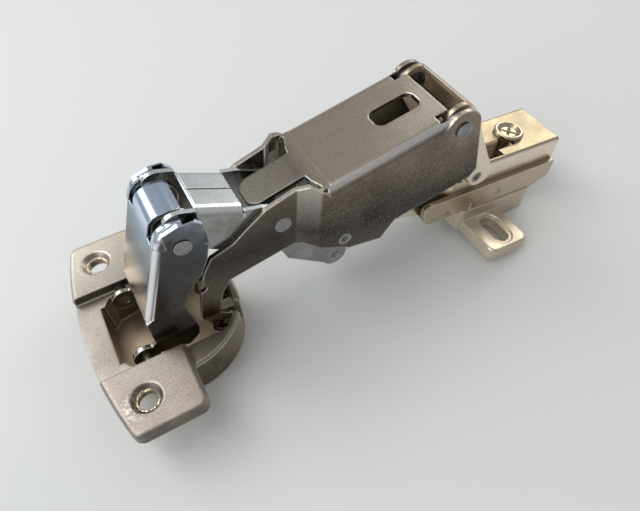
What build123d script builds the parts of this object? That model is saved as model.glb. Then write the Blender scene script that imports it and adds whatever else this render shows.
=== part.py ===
from build123d import *
import os
from math import atan2, cos, degrees, hypot, radians, sin, sqrt, tan

os.makedirs("parts", exist_ok=True)

# A concealed cup hinge of the wide-angle kind, modelled at 95 degrees open.
# Frame: origin between the two screw slots of the mounting plate, on its underside.
# +X runs to the rear of the arm, +Y across the hinge, +Z away from the cabinet side.
# All lengths are in millimetres. Side views are drawn in X and Z, on the middle plane.

# ---- Pivots, in side view (x, z) ------------------------------------------------
ARM_FRONT = (-47.63, 7.60)
ARM_REAR = (-6.52, 19.77)
REAR_JOINT = (-19.35, 40.55)
SCISSOR = (-62.85, 26.81)
CAP_JOINT = (-85.50, 32.03)
# Cup pivots, in the cup's own axes (u to the rear, w out of the cup's mouth).
CUP_FRONT = (-8.32, -3.22)
CUP_REAR = (12.23, -7.65)
CUP_CENTRE = (-90.50, 4.20)
CUP_TILT = 5.27

# ---- Travel of the links from the modelled pose, in degrees ----------------------
SHORT_OPEN = 45.45
OUTER_OPEN = 3.45

# ---- Sheet thicknesses ------------------------------------------------------------
OUTER_SHEET = 1.15
LINK_SHEET = 1.10
ARM_SHEET = 1.20
CARRIER_SHEET = 1.40
SIDE_GAP = 0.12

# ---- Half widths of the nested channels, from the inside out ----------------------
NECK_HALF = 5.90
SHORT_HALF = NECK_HALF + SIDE_GAP + LINK_SHEET
LEG_HALF = SHORT_HALF + SIDE_GAP + OUTER_SHEET
FRONT_HALF = LEG_HALF + SIDE_GAP + LINK_SHEET
ARM_HALF = 8.00
REAR_HALF = ARM_HALF + SIDE_GAP + OUTER_SHEET
WASHER_THICKNESS = 1.11
OUTER_HALF = REAR_HALF + SIDE_GAP + WASHER_THICKNESS + OUTER_SHEET
CARRIER_HALF = ARM_HALF + SIDE_GAP + CARRIER_SHEET

# ---- Pins -------------------------------------------------------------------------
PIN_RADIUS = 1.50
CAP_PIN_RADIUS = 1.25
CUP_PIN_RADIUS = 1.25
PIN_FIT = 0.05
HEAD_RADIUS = 2.00
HEAD_HEIGHT = 0.50
# The rear joint and the cup's rear pivot are the two opened pivots of the linkage:
# the hole's centre sits off the pin, and the hole is larger by the pin's wander.
REAR_JOINT_SHIFT = (0.76, 0.45)
REAR_JOINT_WANDER = 1.34
CUP_REAR_SHIFT = (-0.71, -0.29)
CUP_REAR_WANDER = 1.10

# ---- Outer link ---------------------------------------------------------------------
TOP_SLOPE = 15.9
TOP_POINT = (-24.40, 43.90)
CHANNEL_FRONT = -55.6
CHANNEL_REAR = -22.3
BEND_RADIUS = 2.3
WINDOW_LENGTH = 11.4
WINDOW_WIDTH = 5.8
WINDOW_X = -30.7
WINDOW_CORNER = 2.0
TONGUE_HALF = 4.2
TONGUE_LENGTH = 13.0
TONGUE_DROP = 3.0
TONGUE_CORNER = 2.8
FRONT_BULGE = 1.2
RELIEF_LENGTH = 3.3
RELIEF_HALF = 7.9
EAR_RADIUS = 4.9
EYE_WALL = 1.15
JOGGLE_START = -54.6
JOGGLE_END = -59.8
LEG_FRONT_X = -83.95
LEG_REAR_X = -79.2
LEG_LOW_HALF = 7.05
LEG_JOGGLE_Z = (0.3, 4.3)
GUIDE_AT = (-48.20, 18.30)
GUIDE_RADIUS = 1.50
GUIDE_DIMPLE = 0.90
SCISSOR_RADIUS = 1.80

# ---- Front link ---------------------------------------------------------------------
CAP_RADIUS = 5.60
CAP_REAR_ANGLE = 66.0
FINGER_REAR_ANGLE = 82.0
SLOT_FRONT_ANGLE = 172.0
CAP_FLAT_ANGLE = 97.0
CAP_BEND = 2.6
FRONT_LOBE = 3.20
FRONT_BEND = 2.0
CAP_HALF = 8.30

# ---- Short link -----------------------------------------------------------------------
SHORT_LOBE = 3.30
SHORT_CAP_LOBE = 4.20
FLAP_FRONT = (-80.5, 37.6)
FLAP_REAR = (-71.1, 34.1)
FLAP_LENGTH = 10.0
FLAP_BEND = 2.2
FLAP_SEAM = 0.35

# ---- Rear link ------------------------------------------------------------------------
REAR_LOBE_AT = (-5.60, 20.30)
REAR_LOBE = 3.60
REAR_TOP_LOBE = 4.50
WASHER_RADIUS = 4.00

# ---- Arm, carrier and plate ----------------------------------------------------------
ARM_TOP = 21.75
ARM_TOP_FRONT = 4.5
ARM_FAR_FRONT = 2.8
ARM_REAR_END = 24.1
ARM_BOTTOM = 8.80
CARRIER_TOP = 14.95
CARRIER_FRONT = -22.0
CARRIER_REAR = 24.0
PLATE_TOP = 7.30
PLATE_BODY = (-8.0, 18.0)
PLATE_BODY_HALF = 9.90
PLATE_WALL = 1.9
WING_THICKNESS = 3.64
WING_HALF_LENGTH = 6.65
WING_SPAN = 46.4
SCREW_PITCH = 32.0
PLATE_SLOT_LENGTH = 9.6
PLATE_SLOT_WIDTH = 4.8
SLOT_RIM = 1.1
LOCK_SCREW_X = 11.8
LOCK_SHANK_RADIUS = 2.0
LOCK_HEAD_RADIUS = 4.1
LOCK_HEAD_HEIGHT = 1.3
LOCK_DISH = 0.8
SCREW_CLEARANCE = 0.08

# ---- Cup --------------------------------------------------------------------------------
CUP_RADIUS = 17.5
CUP_BOTTOM = -14.3
CUP_FLOOR = -13.2
POCKET_RADIUS = 16.0
POCKET_FRONT = -14.5
RIM_TOP = -2.8
RIM_STEP = 0.30
EAR_THICKNESS = 3.8
EAR_SPAN = 57.6
EAR_INNER = 12.4
EAR_RIGHT = 0.4
EAR_CORNER = 2.5
EAR_ROUNDING = 1.0
FLANGE_ARC = 107.0
FLANGE_APEX = -20.35
EAR_HOLE_PITCH = 42.0
EAR_HOLE_U = -11.4
EAR_HOLE_RADIUS = 2.55
EAR_SINK_RADIUS = 3.7
RIM_NOTCH = (5.6, 8.65)
RIM_NOTCH_FLOOR = -11.6
LUG_WIDTH = 2.80
LUG_LENGTH = 5.80
LUG_GAP = 0.15
LUG_TOP = -4.4
STUB_HALF = (8.5, 13.0)

# ---- Closing spring --------------------------------------------------------------------
WIRE_RADIUS = 0.6
SPRING_RADIUS = 2.6
SPRING_PITCH = 1.35
SPRING_TURNS = 5


def cup_point(u, w):
    """Turn a point of the cup's own axes into side-view (x, z)."""
    c = cos(radians(CUP_TILT))
    s = sin(radians(CUP_TILT))
    return (CUP_CENTRE[0] + u * c - w * s, CUP_CENTRE[1] + u * s + w * c)


def polar(centre, radius, angle):
    """Point at a radius and angle (degrees) from a centre, in side view."""
    return (centre[0] + radius * cos(radians(angle)), centre[1] + radius * sin(radians(angle)))


def turned(point, centre, angle):
    """A side-view point turned about a centre by an angle in degrees."""
    dx = point[0] - centre[0]
    dz = point[1] - centre[1]
    c = cos(radians(angle))
    s = sin(radians(angle))
    return (centre[0] + dx * c - dz * s, centre[1] + dx * s + dz * c)


def top_z(x):
    """Height of the outer link's sloping top at x."""
    return TOP_POINT[1] + (x - TOP_POINT[0]) * tan(radians(TOP_SLOPE))


def disc(centre, radius, mode=Mode.ADD):
    """A round in the current side-view sketch."""
    with Locations(centre):
        Circle(radius, mode=mode)


def channel_section(plane, half, sheet, depth, bend):
    """Section of a folded channel: two walls hanging from a web, bent at a radius."""
    with BuildSketch(plane) as section:
        with BuildLine():
            FilletPolyline(
                (-half + sheet / 2, -depth),
                (-half + sheet / 2, -sheet / 2),
                (half - sheet / 2, -sheet / 2),
                (half - sheet / 2, -depth),
                radius=bend - sheet / 2,
            )
        trace(line_width=sheet)
    return section.sketch


def sector(centre, outer, inner, start, end):
    """A ring sector in side view, between two angles in degrees."""
    reach = 2 * outer
    middle = (start + end) / 2
    with BuildSketch(Plane.XZ) as ring:
        disc(centre, outer)
        disc(centre, inner, Mode.SUBTRACT)
        Polygon(
            centre,
            polar(centre, reach, start),
            polar(centre, reach, middle),
            polar(centre, reach, end),
            align=None,
            mode=Mode.INTERSECT,
        )
    return ring.sketch


def cut_hole(centre, radius, half):
    """Cut a cross hole through both walls of a channel of the given half width."""
    with BuildSketch(Plane.XZ) as hole:
        disc(centre, radius)
    extrude(hole.sketch, amount=half + 1, both=True, mode=Mode.SUBTRACT)


def cross_pin(centre, radius, half, head_radius=0.0, head_height=0.0, dimple=0.0):
    """A cross pin in the current part, with low riveted heads where they are given."""
    with BuildSketch(Plane.XZ) as shank:
        disc(centre, radius)
    extrude(shank.sketch, amount=half, both=True)
    reach = half + head_height
    for side in (-1, 1):
        if head_radius > 0:
            with BuildSketch(Plane.XZ.offset(side * half)) as head:
                disc(centre, head_radius)
            extrude(head.sketch, amount=side * head_height)
        if dimple > 0:
            with BuildSketch(Plane.XZ.offset(side * reach)) as dent:
                disc(centre, dimple)
            extrude(dent.sketch, amount=-side * dimple * 0.6, mode=Mode.SUBTRACT)


cup_plane = Plane(
    origin=(CUP_CENTRE[0], 0, CUP_CENTRE[1]),
    x_dir=(cos(radians(CUP_TILT)), 0, sin(radians(CUP_TILT))),
    z_dir=(-sin(radians(CUP_TILT)), 0, cos(radians(CUP_TILT))),
)
cup_front = cup_point(*CUP_FRONT)
cup_rear = cup_point(*CUP_REAR)
cup_rear_hole = (cup_rear[0] + CUP_REAR_SHIFT[0], cup_rear[1] + CUP_REAR_SHIFT[1])
cup_rear_hole_radius = CUP_PIN_RADIUS + CUP_REAR_WANDER
rear_joint_hole = (REAR_JOINT[0] + REAR_JOINT_SHIFT[0], REAR_JOINT[1] + REAR_JOINT_SHIFT[1])
rear_joint_hole_radius = PIN_RADIUS + REAR_JOINT_WANDER
outer_inner_half = OUTER_HALF - OUTER_SHEET
leg_inner_half = LEG_HALF - OUTER_SHEET
short_inner_half = SHORT_HALF - LINK_SHEET
front_inner_half = FRONT_HALF - LINK_SHEET
rear_inner_half = REAR_HALF - OUTER_SHEET
arm_inner_half = ARM_HALF - ARM_SHEET
neck_inner_half = NECK_HALF - ARM_SHEET
lug_half = LEG_LOW_HALF - OUTER_SHEET - LUG_GAP
carrier_inner_half = CARRIER_HALF - CARRIER_SHEET
cap_slot_inner = short_inner_half - 0.17
cap_slot_outer = SHORT_HALF + 0.18


# =====================================================================================
# Mounting plate: a cast cross plate, two wings with long holes and a raised rail body.
# =====================================================================================
with BuildPart() as mounting_plate:
    with BuildSketch(Plane.XY):
        RectangleRounded(2 * WING_HALF_LENGTH, WING_SPAN, 2.4)
    extrude(amount=WING_THICKNESS)
    wing_rim = mounting_plate.edges().group_by(Axis.Z)[-1]
    fillet(wing_rim, 0.7)
    body_length = PLATE_BODY[1] - PLATE_BODY[0]
    body_middle = (PLATE_BODY[0] + PLATE_BODY[1]) / 2
    with BuildSketch(Plane.XY):
        with Locations((body_middle, 0)):
            RectangleRounded(body_length, 2 * PLATE_BODY_HALF, 2.0)
    extrude(amount=PLATE_TOP)
    # Hollow underside between the rail walls, closed at the locking screw.
    hollow_end = LOCK_SCREW_X - LOCK_SHANK_RADIUS - 2.6
    hollow_start = PLATE_BODY[0] + PLATE_WALL
    with BuildSketch(Plane.XY):
        with Locations(((hollow_start + hollow_end) / 2, 0)):
            RectangleRounded(hollow_end - hollow_start, 2 * (PLATE_BODY_HALF - PLATE_WALL), 1.5)
    extrude(amount=PLATE_TOP - PLATE_WALL, mode=Mode.SUBTRACT)
    # Long holes for the wood screws, each in a shallow rim.
    with BuildSketch(Plane.XY):
        with Locations((0, SCREW_PITCH / 2), (0, -SCREW_PITCH / 2)):
            SlotOverall(PLATE_SLOT_LENGTH, PLATE_SLOT_WIDTH, rotation=90)
    extrude(amount=WING_THICKNESS, mode=Mode.SUBTRACT)
    with BuildSketch(Plane.XY.offset(WING_THICKNESS)):
        with Locations((0, SCREW_PITCH / 2), (0, -SCREW_PITCH / 2)):
            SlotOverall(PLATE_SLOT_LENGTH + 2 * SLOT_RIM, PLATE_SLOT_WIDTH + 2 * SLOT_RIM, rotation=90)
            SlotOverall(PLATE_SLOT_LENGTH, PLATE_SLOT_WIDTH, rotation=90, mode=Mode.SUBTRACT)
    extrude(amount=-0.35, mode=Mode.SUBTRACT)
    # Screw hole for the locking screw.
    with BuildSketch(Plane.XY):
        with Locations((LOCK_SCREW_X, 0)):
            Circle(LOCK_SHANK_RADIUS + SCREW_CLEARANCE)
    extrude(amount=PLATE_TOP, mode=Mode.SUBTRACT)
mounting_plate.part.label = "mounting_plate"
export_step(mounting_plate.part, "parts/mounting_plate.step")

# =====================================================================================
# Arm carrier: a low channel on the plate that holds the arm between its walls.
# =====================================================================================
with BuildPart() as arm_carrier:
    carrier_floor = ARM_BOTTOM - PLATE_TOP
    with BuildSketch(Plane.XZ):
        with BuildLine():
            nose = CARRIER_FRONT + 3.2
            Polyline(
                (nose, PLATE_TOP),
                (CARRIER_REAR - 6.0, PLATE_TOP),
                (CARRIER_REAR, PLATE_TOP + 2.4),
                (CARRIER_REAR, CARRIER_TOP),
                (CARRIER_FRONT + 2.0, CARRIER_TOP),
            )
            Spline(
                (CARRIER_FRONT + 2.0, CARRIER_TOP),
                (CARRIER_FRONT, (PLATE_TOP + CARRIER_TOP) / 2 + 0.5),
                (nose, PLATE_TOP),
                tangents=((-1, 0), (1, -0.6)),
            )
        make_face()
    extrude(amount=CARRIER_HALF, both=True)
    # Trough for the arm: its walls are left standing on the floor.
    with BuildSketch(Plane.XZ):
        with Locations((0, ARM_BOTTOM)):
            Rectangle(80, 20, align=(Align.CENTER, Align.MIN))
    extrude(amount=carrier_inner_half, both=True, mode=Mode.SUBTRACT)
    # A set-in lower strip at the front end of each wall, with a small peg hole.
    for side in (-1, 1):
        with BuildSketch(Plane.XZ.offset(side * CARRIER_HALF)):
            with Locations((-12.5, PLATE_TOP + 1.5)):
                RectangleRounded(15.0, 3.0, 0.8)
        extrude(amount=-side * 0.45, mode=Mode.SUBTRACT)
        with BuildSketch(Plane.XZ.offset(side * CARRIER_HALF)):
            with Locations((-12.7, 9.4)):
                Circle(0.8)
        extrude(amount=-side * 1.0, mode=Mode.SUBTRACT)
        # Small pointer that marks the middle of the depth setting.
        with BuildSketch(Plane.XZ.offset(side * CARRIER_HALF)):
            with Locations((4.3, 10.6)):
                RegularPolygon(1.5, 3, rotation=90)
        extrude(amount=-side * 0.3, mode=Mode.SUBTRACT)
    with BuildSketch(Plane.XY.offset(PLATE_TOP)):
        with Locations((LOCK_SCREW_X, 0)):
            Circle(LOCK_SHANK_RADIUS + SCREW_CLEARANCE)
    extrude(amount=carrier_floor, mode=Mode.SUBTRACT)
arm_carrier.part.label = "arm_carrier"
export_step(arm_carrier.part, "parts/arm_carrier.step")

# =====================================================================================
# Hinge arm: a folded channel that narrows to a neck, carrying the two fixed pivots.
# =====================================================================================
with BuildPart() as hinge_arm:
    # Plan of one wall: wide at the rear, stepped in to the neck.
    slot_near = -4.6
    slot_far = -0.9
    wall_mid = ARM_HALF - ARM_SHEET / 2
    neck_mid = NECK_HALF - ARM_SHEET / 2
    with BuildSketch(Plane.XY):
        with BuildLine():
            FilletPolyline(
                (ARM_REAR_END, wall_mid),
                (-13.0, wall_mid),
                (-18.0, neck_mid),
                (ARM_FRONT[0] - 6.0, neck_mid),
                radius=2.5,
            )
        trace(line_width=ARM_SHEET)
        mirror(about=Plane.XZ)
    extrude(amount=40)
    # Top plate and the saddle over the neck.
    with BuildSketch(Plane.XZ):
        with Locations((ARM_TOP_FRONT, ARM_TOP)):
            Rectangle(ARM_REAR_END - ARM_TOP_FRONT, ARM_SHEET, align=(Align.MIN, Align.MAX))
    extrude(amount=ARM_HALF, both=True)
    # The far half of the top plate reaches a little further forward.
    with BuildSketch(Plane.XY.offset(ARM_TOP)):
        with Locations((ARM_FAR_FRONT, slot_far)):
            Rectangle(ARM_TOP_FRONT - ARM_FAR_FRONT, wall_mid - slot_far, align=(Align.MIN, Align.MIN))
    extrude(amount=-ARM_SHEET)
    with BuildSketch(Plane.XZ):
        with BuildLine():
            Line((-39.0, 13.2), (-26.0, 17.1))
        trace(line_width=ARM_SHEET)
    extrude(amount=NECK_HALF, both=True)
    # Side view: rear box, rear pivot lobe, arched neck, front pivot lobe.
    with BuildSketch(Plane.XZ):
        with BuildLine():
            Polyline(
                (ARM_REAR_END, ARM_BOTTOM),
                (ARM_REAR_END, ARM_TOP),
                (ARM_REAR[0] + 2.0, ARM_TOP),
                (ARM_REAR[0], ARM_REAR[1] - 2.0),
                (-15.0, 18.8),
                (-26.0, 17.7),
                (-39.0, 13.8),
                ARM_FRONT,
                (-45.0, 4.9),
                (-38.0, 7.6),
            )
            ThreePointArc((-38.0, 7.6), (-30.5, 10.6), (-22.0, ARM_BOTTOM))
            Line((-22.0, ARM_BOTTOM), (ARM_REAR_END, ARM_BOTTOM))
        make_face()
        disc(ARM_REAR, REAR_LOBE)
        disc(ARM_FRONT, SHORT_LOBE)
    extrude(amount=ARM_HALF + 1, both=True, mode=Mode.INTERSECT)
    # The clamping slot in the top plate, open to the front, round at the screw.
    with BuildSketch(Plane.XY.offset(ARM_TOP - ARM_SHEET)):
        with Locations((ARM_TOP_FRONT - 1.0, (slot_near + slot_far) / 2)):
            Rectangle(LOCK_SCREW_X - ARM_TOP_FRONT, slot_far - slot_near, align=(Align.MIN, Align.CENTER))
        with Locations((LOCK_SCREW_X, 0)):
            SlotOverall(9.0, 2 * LOCK_SHANK_RADIUS + 1.6)
    extrude(amount=ARM_SHEET, mode=Mode.SUBTRACT)
    top_edges = hinge_arm.edges().filter_by(Axis.X).group_by(Axis.Z)[-1]
    outer_top_edges = top_edges.filter_by(lambda e: abs(abs(e.center().Y) - ARM_HALF) < 0.01)
    fillet(outer_top_edges, 1.0)
    cut_hole(ARM_REAR, PIN_RADIUS, ARM_HALF)
    cut_hole(ARM_FRONT, PIN_RADIUS, ARM_HALF)
hinge_arm.part.label = "hinge_arm"
export_step(hinge_arm.part, "parts/hinge_arm.step")

# =====================================================================================
# Locking screw: clamps the arm and its carrier to the plate.
# =====================================================================================
with BuildPart() as locking_screw:
    with BuildSketch(Plane.XY.offset(1.0)):
        with Locations((LOCK_SCREW_X, 0)):
            Circle(LOCK_SHANK_RADIUS)
    extrude(amount=ARM_TOP - 1.0)
    with BuildSketch(Plane.XY.offset(ARM_TOP)):
        with Locations((LOCK_SCREW_X, 0)):
            Circle(LOCK_HEAD_RADIUS)
    extrude(amount=LOCK_HEAD_HEIGHT)
    head_rim = locking_screw.edges().filter_by(GeomType.CIRCLE).group_by(Axis.Z)[-1]
    fillet(head_rim, 0.5)
    # The head is dished, with a cross recess in the dish.
    with BuildSketch(Plane.XY.offset(ARM_TOP + LOCK_HEAD_HEIGHT)):
        with Locations((LOCK_SCREW_X, 0)):
            Circle(LOCK_HEAD_RADIUS - 0.8)
    extrude(amount=-LOCK_DISH, taper=55, mode=Mode.SUBTRACT)
    with BuildSketch(Plane.XY.offset(ARM_TOP + LOCK_HEAD_HEIGHT)):
        with Locations((LOCK_SCREW_X, 0)):
            Rectangle(4.4, 1.1, rotation=40)
            Rectangle(4.4, 1.1, rotation=130)
    extrude(amount=-2.0, taper=10, mode=Mode.SUBTRACT)
locking_screw.part.label = "locking_screw"
export_step(locking_screw.part, "parts/locking_screw.step")

# =====================================================================================
# Rear link: a folded U whose back wraps over the rear joint.
# =====================================================================================
with BuildPart() as rear_link:
    with BuildSketch(Plane.XZ) as rear_outline:
        with BuildLine():
            CenterArc(REAR_LOBE_AT, REAR_LOBE, 0, 360)
            CenterArc(rear_joint_hole, REAR_TOP_LOBE, 0, 360)
        make_hull()
    extrude(amount=REAR_HALF, both=True)
    with BuildSketch(Plane.XZ):
        with BuildLine():
            CenterArc(REAR_LOBE_AT, REAR_LOBE - OUTER_SHEET, 0, 360)
            CenterArc(rear_joint_hole, REAR_TOP_LOBE - OUTER_SHEET, 0, 360)
        make_hull()
    extrude(amount=rear_inner_half, both=True, mode=Mode.SUBTRACT)
    # Everything between the ears goes, apart from the back and its rolled top.
    link_angle = degrees(atan2(REAR_JOINT[1] - ARM_REAR[1], REAR_JOINT[0] - ARM_REAR[0]))
    back_start = polar(REAR_LOBE_AT, 14.2, link_angle)
    with BuildSketch(Plane.XZ):
        Polygon(
            polar(back_start, 12.0, link_angle - 90),
            back_start,
            rear_joint_hole,
            polar(rear_joint_hole, 9.0, 72.0),
            polar(rear_joint_hole, 14.0, 180.0),
            (-30.0, 12.0),
            (12.0, 12.0),
            align=None,
        )
    extrude(amount=rear_inner_half, both=True, mode=Mode.SUBTRACT)
    cut_hole(ARM_REAR, PIN_RADIUS + PIN_FIT, REAR_HALF)
    cut_hole(rear_joint_hole, rear_joint_hole_radius, REAR_HALF)
rear_link.part.label = "rear_link"
export_step(rear_link.part, "parts/rear_link.step")

# =====================================================================================
# Outer link: one sheet folded to a channel at the rear and two stepped-in, hooked legs.
# =====================================================================================
outer_mid = OUTER_HALF - OUTER_SHEET / 2
leg_mid = LEG_HALF - OUTER_SHEET / 2
leg_low_mid = LEG_LOW_HALF - OUTER_SHEET / 2
channel_lead = CHANNEL_FRONT + 2.2

# The two hooked leg ends, stepped in once more to pass the notches of the cup's rim.
with BuildPart() as leg_ends:
    with BuildSketch(Plane.YZ.offset(-88.0)):
        with BuildLine():
            FilletPolyline(
                (leg_mid, 8.0),
                (leg_mid, LEG_JOGGLE_Z[1]),
                (leg_low_mid, LEG_JOGGLE_Z[0]),
                (leg_low_mid, -8.0),
                radius=1.5,
            )
        trace(line_width=OUTER_SHEET)
        mirror(about=Plane.YZ)
    extrude(amount=16.0)
    with BuildSketch(Plane.XZ):
        Polygon(
            (LEG_FRONT_X, 7.0),
            (LEG_FRONT_X - 0.2, LEG_JOGGLE_Z[1] - 0.3),
            polar(cup_rear_hole, cup_rear_hole_radius + EYE_WALL, 160),
            cup_rear_hole,
            polar(cup_rear_hole, cup_rear_hole_radius + EYE_WALL, 60),
            (LEG_REAR_X - 0.3, LEG_JOGGLE_Z[1] - 0.3),
            (LEG_REAR_X, 7.0),
            align=None,
        )
        disc(cup_rear_hole, cup_rear_hole_radius + EYE_WALL)
    extrude(amount=LEG_HALF + 1, both=True, mode=Mode.INTERSECT)

# The bulged front edge of the channel's top and its long tongue, bent a little down.
with BuildPart() as tongue:
    with BuildSketch(Plane.XZ):
        root_x = channel_lead + 1.0
        bend_x = CHANNEL_FRONT - 1.5
        tip_x = CHANNEL_FRONT - TONGUE_LENGTH
        with BuildLine():
            FilletPolyline(
                (root_x, top_z(root_x) - OUTER_SHEET / 2),
                (bend_x, top_z(bend_x) - OUTER_SHEET / 2),
                (tip_x, top_z(tip_x) - OUTER_SHEET / 2 - (bend_x - tip_x) * tan(radians(TONGUE_DROP))),
                radius=20.0,
            )
        trace(line_width=OUTER_SHEET)
    extrude(amount=outer_inner_half, both=True)
    bulge_x = CHANNEL_FRONT - FRONT_BULGE
    with BuildSketch(Plane.XY):
        with Locations((tip_x, 0)):
            Rectangle(root_x - tip_x, 2 * TONGUE_HALF, align=(Align.MIN, Align.CENTER))
        tip_corners = vertices().group_by(Axis.X)[0]
        fillet(tip_corners, TONGUE_CORNER)
        for side in (-1, 1):
            Polygon(
                (root_x, 0),
                (CHANNEL_FRONT, 0),
                (CHANNEL_FRONT, side * (TONGUE_HALF + 0.2)),
                (bulge_x, side * (TONGUE_HALF + 1.4)),
                (bulge_x + 0.9, side * (outer_inner_half - 1.8)),
                (JOGGLE_START + 0.3, side * (outer_inner_half - 0.2)),
                (channel_lead, side * (outer_inner_half - 0.2)),
                (root_x, side * (outer_inner_half - 0.2)),
                align=None,
            )
    extrude(amount=50, mode=Mode.INTERSECT)

slope_dir = (cos(radians(TOP_SLOPE)), 0, sin(radians(TOP_SLOPE)))
channel_run_in = channel_lead - 12.0
channel_start = Plane(
    origin=(channel_run_in, 0, top_z(channel_run_in)),
    x_dir=(0, 1, 0),
    z_dir=slope_dir,
)
with BuildPart() as outer_link:
    channel = channel_section(channel_start, OUTER_HALF, OUTER_SHEET, 34.0, BEND_RADIUS)
    extrude(channel, amount=(CHANNEL_REAR - channel_run_in) / cos(radians(TOP_SLOPE)))
    # The channel ends square at the front, where the joggle of the walls begins.
    with BuildSketch(Plane.XZ):
        with Locations((channel_lead, 0)):
            Rectangle(60.0, 120.0, align=(Align.MIN, Align.CENTER))
    extrude(amount=OUTER_HALF + 1, both=True, mode=Mode.INTERSECT)
    # Plan of one side wall: straight, joggled in, straight again along the leg.
    with BuildSketch(Plane.XY.offset(2.0)):
        with BuildLine():
            FilletPolyline(
                (channel_lead, outer_mid),
                (JOGGLE_START, outer_mid),
                (JOGGLE_END, leg_mid),
                (-90.0, leg_mid),
                radius=2.0,
            )
        trace(line_width=OUTER_SHEET)
        mirror(about=Plane.XZ)
    extrude(amount=42.0)
    # Ears beside the rear joint.
    for side in (-1, 1):
        with BuildSketch(Plane.XZ.offset(side * outer_inner_half)):
            with BuildLine():
                CenterArc(REAR_JOINT, EAR_RADIUS, 0, 360)
                Line((-10.8, 26.3), (-12.6, 24.0))
                Line((-28.0, 22.0), (-28.0, 38.0))
            make_hull()
        extrude(amount=side * OUTER_SHEET)
    # Side view of the channel and the cranked legs.
    with BuildSketch(Plane.XZ):
        with BuildLine():
            Polyline(
                (channel_lead, top_z(channel_lead)),
                (REAR_JOINT[0], top_z(REAR_JOINT[0])),
                (-15.0, 44.5),
                (-10.8, 26.3),
                (-11.8, 24.1),
                (-25.3, 20.75),
                (-34.0, 18.5),
                (-37.5, 13.4),
                (-46.4, 14.5),
                (-58.2, 19.8),
                (-63.75, 18.4),
                (-76.3, 15.0),
                (-78.2, 11.4),
                (LEG_REAR_X, 7.0),
                (LEG_FRONT_X, 7.0),
                (-83.5, 12.3),
                (-83.1, 15.7),
                (-81.9, 20.4),
                (-80.0, 24.1),
                (-74.75, 26.2),
                (-71.85, 28.9),
                (-67.15, 32.8),
                (-59.55, 35.9),
                (-57.2, 36.9),
                (channel_lead, top_z(channel_lead) - 0.9),
                (channel_lead, top_z(channel_lead)),
            )
        make_face()
        disc(REAR_JOINT, EAR_RADIUS)
    extrude(amount=OUTER_HALF + 1, both=True, mode=Mode.INTERSECT)
    add(leg_ends.part)
    add(tongue.part)
    # Recess in the leg where the cap pin comes to rest at full opening.
    stop_angle = SHORT_OPEN - OUTER_OPEN
    cap_reach = hypot(CAP_JOINT[0] - SCISSOR[0], CAP_JOINT[1] - SCISSOR[1])
    cap_bearing = degrees(atan2(CAP_JOINT[1] - SCISSOR[1], CAP_JOINT[0] - SCISSOR[0])) % 360
    recess_radius = CAP_PIN_RADIUS + 0.25
    recess = sector(
        SCISSOR, cap_reach + recess_radius, cap_reach - recess_radius, cap_bearing + 20, cap_bearing + stop_angle
    )
    extrude(recess, amount=LEG_HALF + 1, both=True, mode=Mode.SUBTRACT)
    cut_hole(turned(CAP_JOINT, SCISSOR, stop_angle), recess_radius, LEG_HALF)
    # Window in the top.
    with BuildSketch(Plane.XY.offset(30.0)):
        with Locations((WINDOW_X, 0)):
            RectangleRounded(WINDOW_LENGTH, WINDOW_WIDTH, WINDOW_CORNER)
    extrude(amount=20.0, mode=Mode.SUBTRACT)
    # Relief notches at the rear corners, between the top and the ears.
    relief_half = (RELIEF_HALF + outer_inner_half) / 2
    with BuildSketch(Plane.XY.offset(38.0)):
        with Locations((CHANNEL_REAR - RELIEF_LENGTH, relief_half), (CHANNEL_REAR - RELIEF_LENGTH, -relief_half)):
            Rectangle(9.0, outer_inner_half - RELIEF_HALF, align=(Align.MIN, Align.CENTER))
    extrude(amount=12.0, mode=Mode.SUBTRACT)
    cut_hole(REAR_JOINT, PIN_RADIUS, OUTER_HALF)
    cut_hole(SCISSOR, SCISSOR_RADIUS, OUTER_HALF)
    cut_hole(GUIDE_AT, GUIDE_RADIUS, OUTER_HALF)
    cut_hole(cup_rear_hole, cup_rear_hole_radius, LEG_HALF)
outer_link.part.label = "outer_link"
export_step(outer_link.part, "parts/outer_link.step")

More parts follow.
